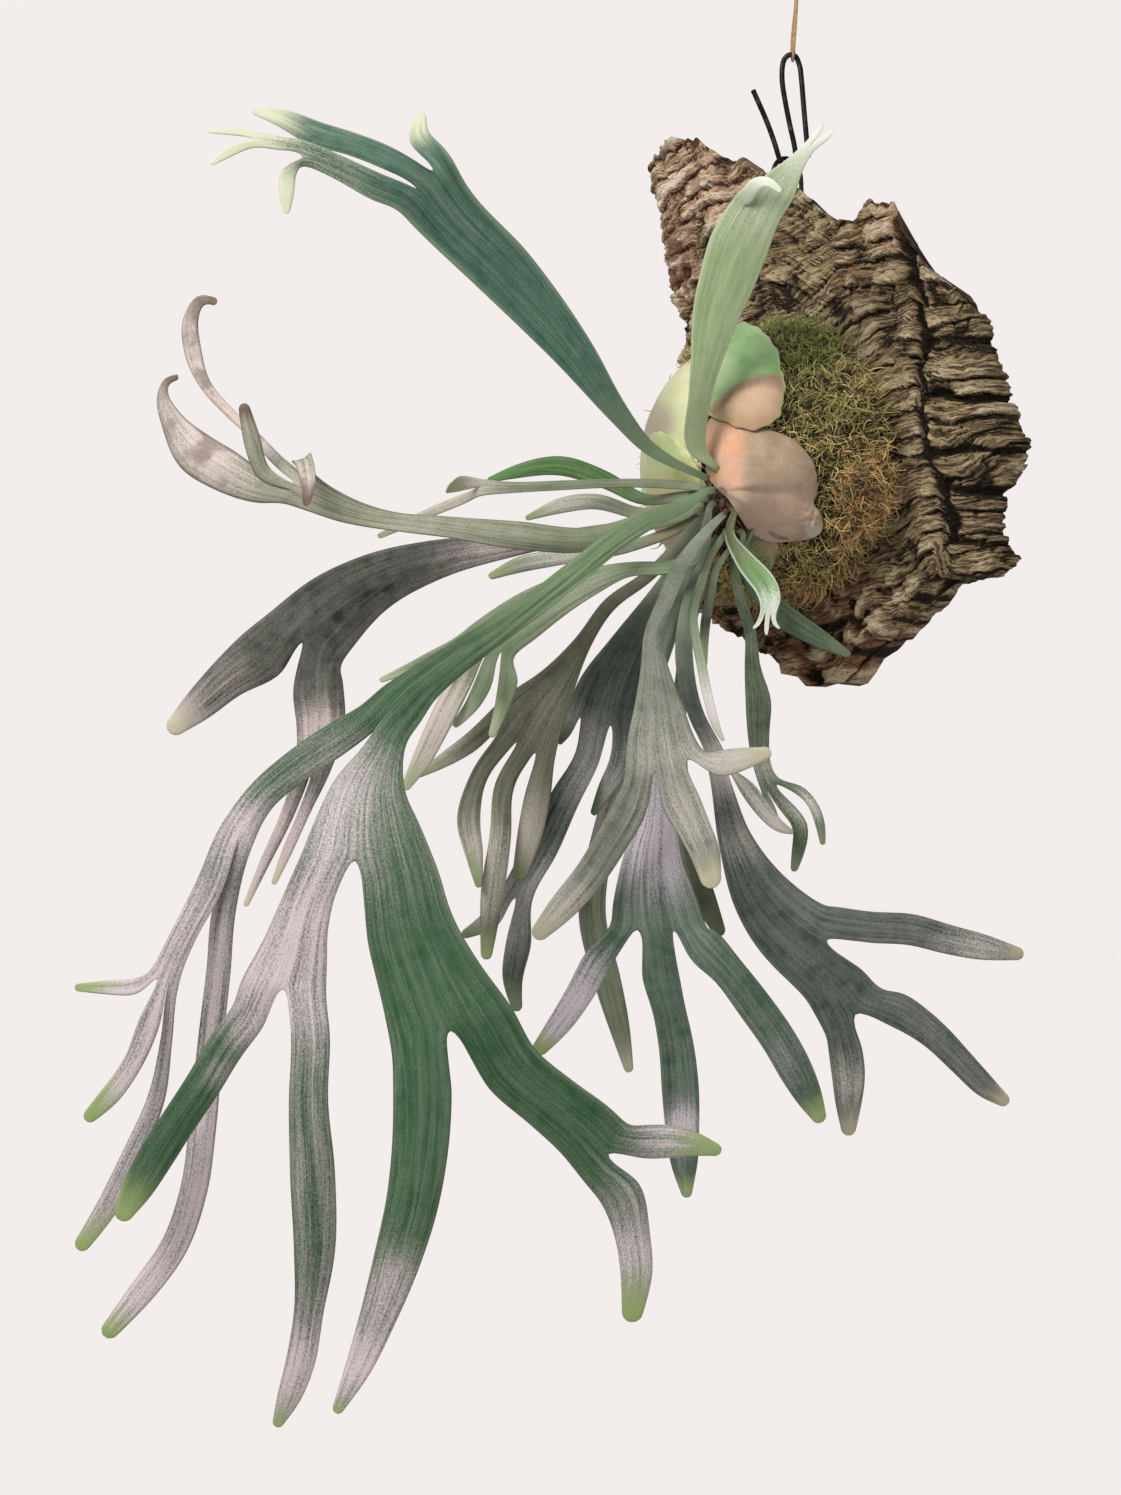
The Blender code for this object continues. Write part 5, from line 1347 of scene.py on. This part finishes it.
# Azimuths and heights are in degrees: the tuft's are a middle and a spread, the bare window's its ends.
# Zones are (right, up, reach, strength), in mm as seen.
mossLook = {
    "strands": 5800,
    "sides": 3,
    "rows": 5,
    "length": 9.0 * mm,
    "thick": 0.42 * mm,
    "seed": 7,
    "tuftStrands": 900,
    "tuftAzimuth": (76.0, 8.0),
    "tuftHeight": (-17.0, 8.0),
    "bareAzimuth": (-66.0, 4.0),
    "bareHeight": (-38.0, 46.0),
    # the core is dark, partly the moss's own colour deep down and partly painted shade in the gaps between
    # strands
    "coreHues": ("1c1406", "6a5a22", "3c4a18", "6a4620"),
    "hues": ("2e2208", "e2c97e", "84963a", "f0b878"),
    "greenZones": ((45, 78, 30, 1.0), (72, -12, 13, 0.9), (60, 40, 10, 0.6), (84, 30, 10, 0.5),
                   (50, -34, 12, 0.7), (62, 12, 12, 0.5)),
    "orangeZones": ((95, -16, 17, 1.0), (78, 20, 9, 0.6), (66, 58, 9, 0.5), (50, -48, 22, 0.8),
                    (75, -45, 18, 0.8), (86, 0, 12, 0.7)),
}


def onBall(azimuth, height, lift):
    # azimuth 0 faces out from the board, height runs from -90 to 90 degrees, lift in mm
    a, h = math.radians(azimuth), math.radians(height)
    unit = Vector((math.cos(h) * math.sin(a), -math.cos(h) * math.cos(a), math.sin(h)))
    return rootBall["centre"] + Vector([u * (s + lift * mm) for u, s in zip(unit, rootBall["size"])])


def onFace(right, up, lift):
    # the point of the root ball, grown by lift mm, that shows at right, up
    eye = plane["crown"] + alongAxes(plane["eyeRight"], plane["eyeUp"], plane["eyeDistance"])
    size = rootBall["size"] + Vector((lift, lift, lift)) * mm
    start = Vector([k / s for k, s in zip(eye - rootBall["centre"], size)])
    aim = Vector([k / s for k, s in zip(drawn(right, up, 0.0) - eye, size)])
    inside = max(0.0, start.dot(aim) ** 2 - aim.dot(aim) * (start.dot(start) - 1.0))
    t = (-start.dot(aim) - math.sqrt(inside)) / aim.dot(aim)
    return eye + (drawn(right, up, 0.0) - eye) * t


def strandShape(bend, twist):
    # one curled strand standing on the origin along +Z, one unit long
    work = bmesh.new()
    ring = bmesh.ops.create_circle(work, segments=mossLook["sides"], radius=1.0)["verts"]
    edges = list(work.edges)
    rows = mossLook["rows"]
    for row in range(rows + 1):
        t = row / rows
        if row:
            grown = bmesh.ops.extrude_edge_only(work, edges=edges)["geom"]
            ring = [g for g in grown if isinstance(g, bmesh.types.BMVert)]
            edges = [g for g in grown if isinstance(g, bmesh.types.BMEdge)]
            edges = [e for e in edges if all(v in ring for v in e.verts)]
        middle = sum((v.co for v in ring), Vector()) / len(ring)
        wide = mossLook["thick"] / mossLook["length"] * (1.0 - 0.7 * t * t)
        target = Vector((bend * t * t, 0.4 * math.sin(twist * t) * t, t * (1.0 - 0.35 * bend * t)))
        for v in ring:
            v.co = target + (v.co - middle).normalized() * wide
    bmesh.ops.holes_fill(work, edges=[e for e in work.edges if e.is_boundary])
    bmesh.ops.recalc_face_normals(work, faces=work.faces)
    return keepMesh("strand", work)


def scatter(name, shapes, places, finish, node):
    # copies of the shapes, one for each (matrix, tone, green), gathered in one mesh
    work = bmesh.new()
    for label in ("tone", "green"):
        work.verts.layers.float.new(label)
    for n, (matrix, *values) in enumerate(places):
        copy = shapes[n % len(shapes)].copy()
        copy.transform(matrix)
        for label, value in zip(("tone", "green"), values):
            measured = copy.attributes.new(label, "FLOAT", "POINT")
            measured.data.foreach_set("value", [value] * len(copy.vertices))
        work.from_mesh(copy)
        bpy.data.meshes.remove(copy)
    return meshPiece(name, work, finish, node)


def mossFinish(name, dark, light, green, orange):
    # tone runs from dark to light; green from -1, orange, to 1, green
    finish, tree, place = newFinish(name)
    tone, lean = measure(tree, "tone"), measure(tree, "green")
    fine = grainAt(tree, place, 1400.0, 2.0, 0.7)
    colour, greener, warmer = [blendHues(tree, tone, hue(dark), hue(far)) for far in (light, green, orange)]
    colour = blendHues(tree, ramp(tree, lean, 0.1, 0.9), colour, greener)
    colour = blendHues(tree, ramp(tree, lean, -0.1, -0.9), colour, warmer)
    colour = blendHues(tree, times(tree, ramp(tree, fine, 0.4, 0.7), 0.25), colour, hue(light))
    endFinish(tree, colour, fine, 0.5, 0.0006, {"Roughness": 0.85, "Sheen Weight": 0.15})
    return finish


def leanAt(point):
    right, up = seenAt(point)
    return zoned(mossLook["greenZones"], right, up) - zoned(mossLook["orangeZones"], right, up)


def buildBall():
    work = bmesh.new()
    bmesh.ops.create_icosphere(work, subdivisions=6, radius=1.0)
    toneLayer = work.verts.layers.float.new("tone")
    greenLayer = work.verts.layers.float.new("green")
    for v in work.verts:
        unit = v.co.normalized()
        lump = (-4.5 * abs(noise.noise(unit * 6.0)) - 2.4 * abs(noise.noise(unit * 15.0))
                - 0.9 * abs(noise.noise(unit * 40.0)))
        wide = Vector([u * s for u, s in zip(unit, rootBall["size"])])
        v.co = rootBall["centre"] + wide + unit * (lump * mm)
        v.co.y = min(v.co.y, rootBall["seat"])
        v[toneLayer] = min(1.0, max(0.0, 0.2 + 0.9 * noise.noise(v.co * 260.0)))
        v[greenLayer] = leanAt(v.co)
    meshPiece("moss_core", work, mossFinish("moss core", *mossLook["coreHues"]), "moss_root_ball")


def underShield(foot):
    # no moss grows through the shields
    offset = foot - rootBall["centre"]
    azimuth = math.degrees(math.atan2(offset.x, -offset.y))
    height = math.degrees(math.asin(max(-1.0, min(1.0, offset.z / offset.length))))
    (left, right), (low, high) = mossLook["bareAzimuth"], mossLook["bareHeight"]
    if left < azimuth < right and low < height < high:
        return True
    if offset.dot(nearward) <= -0.02:
        return False
    return any(insideOutline(shield["outline"], *seenAt(foot)) for shield in (shieldRight, shieldUpper))


def buildStrands():
    rng = random.Random(mossLook["seed"])
    noise.seed_set(mossLook["seed"])
    shapes = [strandShape(rng.uniform(0.4, 1.3), rng.uniform(2.0, 8.0)) for n in range(10)]
    places = []
    while len(places) < mossLook["strands"]:
        tuft = len(places) < mossLook["tuftStrands"]
        azimuth, height = rng.uniform(-92.0, 92.0), math.degrees(math.asin(rng.uniform(-1.0, 1.0)))
        if tuft:
            azimuth, height = rng.gauss(*mossLook["tuftAzimuth"]), rng.gauss(*mossLook["tuftHeight"])
        elif azimuth < -30.0 and rng.random() < 0.5:
            continue
        foot = onBall(azimuth, height, rng.uniform(-1.0, 8.0) if tuft else rng.uniform(-2.0, 1.5))
        if foot.y > rootBall["seat"] - 0.5 * mm or underShield(foot):
            continue
        outward = (foot - rootBall["centre"]).normalized()
        lean = Vector([rng.gauss(0.0, 0.8) for axis in range(3)]) + Vector((0.15, 0.0, -0.2))
        lean += noise.noise_vector(foot * 110.0) * 1.6
        lean -= outward * lean.dot(outward)
        steep = rng.uniform(0.1, 1.1)
        along = (outward * steep + lean.normalized()).normalized()
        rim = smooth(50.0, 88.0, abs(azimuth))
        turned = along.to_track_quat("Z", "Y").to_matrix().to_4x4()
        turned = turned @ Matrix.Rotation(rng.uniform(0.0, 6.28), 4, "Z")
        size = mossLook["length"] * rng.uniform(0.5, 1.1) * (1.0 + 0.3 * rim)
        tone = rng.gauss(0.60, 0.30) + 1.4 * noise.noise(foot * 150.0)
        # strands on the tuft and low on the ball are lighter; on the tuft this is painted light against the
        # ball's shade
        tone = min(1.0, max(0.0, tone + (0.22 if tuft or height < -30.0 else 0.0)))
        places.append((Matrix.Translation(foot) @ turned @ Matrix.Scale(size, 4), tone,
                       (-0.7 if tuft else leanAt(foot)) + rng.gauss(0.0, 0.25)))
    scatter("moss_strands", shapes, places, mossFinish("moss strands", *mossLook["hues"]),
            "moss_root_ball")


buildBall()
buildStrands()
print("moss done")


# Shield fronds over the root ball.

def mound(right, up, middleRight, middleUp, wide, tall):
    return math.exp(-(((right - middleRight) / wide) ** 2) - ((up - middleUp) / tall) ** 2)


def heartLift(right, up, reach):
    # the growing point's swell, the groove along the middle, soft wrinkles round them and the crinkled corner
    swell = 27.0 * mound(right, up, 10.0, -8.0, 16.0, 20.0)
    fromPoint = math.hypot(right - 3.0, up + 1.5)
    groove = -2.2 * math.exp(-(((up + 1.5 - 0.02 * right) / (1.2 + 0.05 * right)) ** 2))
    groove = groove * smooth(2.0, 9.0, fromPoint) * smooth(50.0, 24.0, right)
    angle = math.atan2(up + 1.5, right - 3.0)
    pleats = 0.55 * math.sin(angle * 11.0) * math.exp(-(((fromPoint - 13.0) / 9.0) ** 2))
    wrinkles = 0.9 * noise.noise((right * 0.9 + up * 0.5, up * 0.25 - right * 0.2, 4.0))
    wrinkles *= mound(right, up, 9.0, 22.0, 9.0, 10.0)
    crinkle = 2.0 + 2.4 * noise.noise((right * 0.45, up * 0.45, 8.0))
    crinkle = mound(right, up, 51.0, -17.0, 6.0, 8.0) * (crinkle + noise.noise((right * 1.2, up * 1.2, 9.0)))
    lobes = 2.0 * mound(right, up, 34.0, 13.0, 16.0, 10.0) + 1.6 * mound(right, up, 30.0, -14.0, 15.0, 7.0)
    return swell + groove + pleats + wrinkles + crinkle + lobes


def upperLift(right, up, reach):
    # a dome below the dry band, a rough face above it
    above = up - readOff(shieldUpper["band"], right)
    dome = 3.4 * smooth(3.0, -4.0, above) * (1.0 - 0.4 * reach**4)
    return dome + 0.6 * noise.noise((right * 0.12, up * 0.12, 2.0)) * smooth(0.0, 6.0, above)


def wavyLift(right, up, reach):
    return 0.9 * reach**4 * math.sin(right * 0.9 + up * 0.5)


def onSide(azimuth, height, base):
    # for a shield laid out round the ball: a point of it, and where on the plane that shows
    point = onBall(azimuth, height, base + 0.4 * noise.noise(onBall(azimuth, height, 0.0) * 60.0))
    return point, *seenAt(point)


def growShield(name, shield, lift):
    # lift says how far a spot stands out; without it the shield is laid out in degrees round the ball
    middle, scallop = shield["middle"], shield.get("scallop", 0.0)

    def place(t, reach):
        reach = math.sin(math.pi / 2.0 * reach)
        edge = closedCurve(shield["outline"], t % 1.0)
        wave = 1.0 + scallop * math.sin(2.0 * math.pi * 17.0 * t) * reach**6
        right, up = [m + (e - m) * reach * wave for m, e in zip(middle, edge)]
        base = shield["rim"] + (shield["crest"] - shield["rim"]) * (1.0 - reach**2.6)
        if lift:
            point = onFace(right, up, base) + nearward * (lift(right, up, reach) * mm)
        else:
            point, right, up = onSide(right, up, base)
        return point, reach, right * mm, up * mm

    work = wrapGrid(shieldMesh["spokes"], shieldMesh["rings"], place, ("reach", "right", "up"), 2e-6)
    if sum(f.normal.dot(f.calc_center_median() - rootBall["centre"]) for f in work.faces) < 0.0:
        bmesh.ops.reverse_faces(work, faces=work.faces)
    piece = meshPiece(name + "_skin", work, shieldFinish(shield), name)
    wall = piece.modifiers.new("wall", "SOLIDIFY")
    wall.thickness, wall.offset = shieldMesh["thickness"], 0.0


def shieldFinish(shield):
    # body and rim tones, soft spots and, on the upper one, the two tones under its dry band's line
    finish, tree, place = newFinish(shield["finish"])
    reach, right, up = [measure(tree, label) for label in ("reach", "right", "up")]
    flat = addNode(tree, "CombineXYZ", {"X": right, "Y": up}).outputs[0]
    patches = grainAt(tree, place, 70.0, 3.0)
    fine = grainAt(tree, place, 420.0, 3.0, 0.6)
    rim = hue(shield["rimHue"])
    colour = blendHues(tree, ramp(tree, patches, 0.35, 0.65), *map(hue, shield["body"]))
    colour = blendHues(tree, times(tree, ramp(tree, fine, 0.4, 0.65), 0.25), colour, rim)
    if "bandHues" in shield:
        under, lowest = map(hue, shield["bandHues"])
        level = addNode(tree, "FloatCurve", {"Value": times(tree, right, 25.0)})
        curve = level.mapping.curves[0]
        curve.points[0].location, curve.points[1].location = (0.0, 0.42), (0.9, 0.546)
        for spot in ((0.25, 0.5), (0.47, 0.55), (0.69, 0.567)):
            curve.points.new(*spot)
        level.mapping.update()
        above = compute(tree, "SUBTRACT", up, times(tree, level.outputs[0], 0.1))
        above = swayed(tree, above, patches, 0.006)
        colour = blendHues(tree, ramp(tree, above, 0.004, 0.0), colour, under)
        colour = blendHues(tree, ramp(tree, above, -0.002, -0.007), colour, lowest)
    nearRim = ramp(tree, swayed(tree, reach, fine, 0.2), 0.9, 0.99)
    colour = blendHues(tree, times(tree, nearRim, 0.8), colour, rim)
    for spotRight, spotUp, wide, tone in shield["spots"]:
        middle = (spotRight * mm, spotUp * mm, 0.0)
        away = addNode(tree, "VectorMath", {0: flat, 1: middle}, operation="DISTANCE").outputs["Value"]
        away = swayed(tree, away, patches, 0.012)
        colour = blendHues(tree, ramp(tree, away, wide * mm, wide * 0.3 * mm), colour, hue(tone))
    fuzz = fuzzed(tree, colour, place, "e3ddd0", shield.get("hair", 0.25), 1500.0)
    height = compute(tree, "MULTIPLY_ADD", fine, shield.get("veins", 0.5), fuzz.outputs["Height"])
    endFinish(tree, fuzz.outputs["Color"], height, 0.35, 0.0006, {"Roughness": 0.65, "Sheen Weight": 0.3})
    return finish


growShield("shield_left", shieldLeft, None)
growShield("shield_young", shieldYoung, wavyLift)
growShield("shield_lower", shieldLower, wavyLift)
growShield("shield_right", shieldRight, heartLift)
growShield("shield_upper", shieldUpper, upperLift)
print("shields done")


# Rhizome tip: brown scales and a collar of orange fuzz.

rhizome = {
    "scales": 160,
    "scaleLength": (3.6, 5.2),
    "scaleTurn": 2.39996,
    "hairs": 900,
    "hairLength": (2.5, 5.0),
    "seed": 11,
    "coreHues": ("1c120c", "5a3a22", "2a1a10", "5a3a22"),
    "scaleHues": ("2a1a12", "6a452c", "3a2418", "7a4a2a"),
    "hairHues": ("7a4a24", "b98048", "8a5a30", "b0703a"),
}


def scaleShape():
    # a small pointed scale lying along +X, one unit long
    work = bmesh.new()
    bmesh.ops.create_grid(work, x_segments=4, y_segments=2, size=0.5)
    for v in work.verts:
        t, side = v.co.x + 0.5, v.co.y
        wide = side * 0.75 * math.sqrt(max(0.02, 1.0 - t))
        v.co = Vector((t, wide, 0.22 * math.sin(math.pi * t) - side**2 * 0.5))
    bmesh.ops.solidify(work, geom=work.faces, thickness=0.06)
    bmesh.ops.recalc_face_normals(work, faces=work.faces)
    return keepMesh("scale", work)


def rootedAt(unit, turned, length):
    return Matrix.Translation(onTip(unit, -0.2)) @ turned.to_4x4() @ Matrix.Scale(length * mm, 4)


def buildRhizome():
    work = bmesh.new()
    bmesh.ops.create_icosphere(work, subdivisions=5, radius=1.0)
    toneLayer = work.verts.layers.float.new("tone")
    for v in work.verts:
        unit = v.co.normalized()
        v[toneLayer] = 0.3
        v.co = onTip(unit, -0.4 + 0.5 * noise.noise(unit * 7.0))
    meshPiece("rhizome_core", work, mossFinish("rhizome core", *rhizome["coreHues"]),
              "rhizome_crown")
    rng = random.Random(rhizome["seed"])
    scales, hairs = [], []
    for n in range(rhizome["scales"]):
        height = 1.0 - 2.0 * (n + 0.5) / rhizome["scales"]
        unit = Vector(toward(n * rhizome["scaleTurn"], height))
        outward = offTip(unit)
        down = (Vector((0.0, 0.0, -1.0)) + outward * 0.45).normalized()
        across = outward.cross(down).normalized()
        turned = Matrix((down, across, down.cross(across))).transposed()
        scales.append((rootedAt(unit, turned, rng.uniform(*rhizome["scaleLength"])),
                       rng.uniform(0.1, 0.9), 0.0))
    scatter("rhizome_scales", [scaleShape()], scales, mossFinish("rhizome scales", *rhizome["scaleHues"]),
            "rhizome_crown")
    strands = [strandShape(rng.uniform(0.3, 0.9), rng.uniform(2.0, 6.0)) for n in range(4)]
    for n in range(rhizome["hairs"]):
        unit = Vector([rng.gauss(0.0, 1.0) for axis in range(3)]).normalized()
        along = (offTip(unit) + Vector([rng.gauss(0.0, 0.5) for axis in range(3)])).normalized()
        turned = along.to_track_quat("Z", "Y").to_matrix()
        hairs.append((rootedAt(unit, turned, rng.uniform(*rhizome["hairLength"])),
                      rng.uniform(0.2, 1.0), 0.0))
    scatter("rhizome_fuzz", strands, hairs, mossFinish("rhizome fuzz", *rhizome["hairHues"]),
            "rhizome_crown")


buildRhizome()
print("rhizome done")


# Floor, light and world.

stage = {
    "floorRadius": 0.6,
    "floorDrop": 0.70,
    "floorHue": "e2dcd8",
    "sky": ("e9eef2", 0.36),
    "seenSky": ("f3edec", 1.0),
    "lamps": {"key": (-900.0, 1000.0, 1000.0, 1.0, 26.5), "fill": (1000.0, 100.0, 1300.0, 1.4, 6.5)},
}


def setStage():
    scene = bpy.context.scene
    work = bmesh.new()
    bmesh.ops.create_circle(work, cap_ends=True, segments=96, radius=stage["floorRadius"])
    bmesh.ops.translate(work, verts=work.verts, vec=plane["crown"] + Vector((0.0, 0.0, -stage["floorDrop"])))
    floor = bpy.data.objects.new("floor", keepMesh("floor", work))
    finish, tree = newFinish("floor")[:2]
    setInputs(tree, tree.nodes["Principled BSDF"], {"Base Color": hue(stage["floorHue"]), "Roughness": 0.9})
    floor.data.materials.append(finish)
    scene.collection.objects.link(floor)
    world = bpy.data.worlds.new("studio")
    world.use_nodes = True
    tree = world.node_tree
    light, seen = tree.nodes["Background"], addNode(tree, "Background")
    for node, (tone, strength) in ((light, stage["sky"]), (seen, stage["seenSky"])):
        setInputs(tree, node, {"Color": hue(tone), "Strength": strength})
    chosen = addNode(tree, "MixShader", {0: addNode(tree, "LightPath").outputs["Is Camera Ray"],
                                         1: light.outputs[0], 2: seen.outputs[0]})
    tree.links.new(chosen.outputs[0], tree.nodes["World Output"].inputs["Surface"])
    scene.world = world
    scene.view_settings.view_transform = "Standard"
    for name, (right, up, near, size, power) in stage["lamps"].items():
        data = bpy.data.lights.new(name, "AREA")
        data.shape, data.size, data.energy = "DISK", size, power
        lamp = bpy.data.objects.new(name, data)
        lamp.location = plane["crown"] + alongAxes(right, up, near)
        lamp.rotation_euler = (lamp.location - plane["crown"]).to_track_quat("Z", "Y").to_euler()
        scene.collection.objects.link(lamp)


setStage()
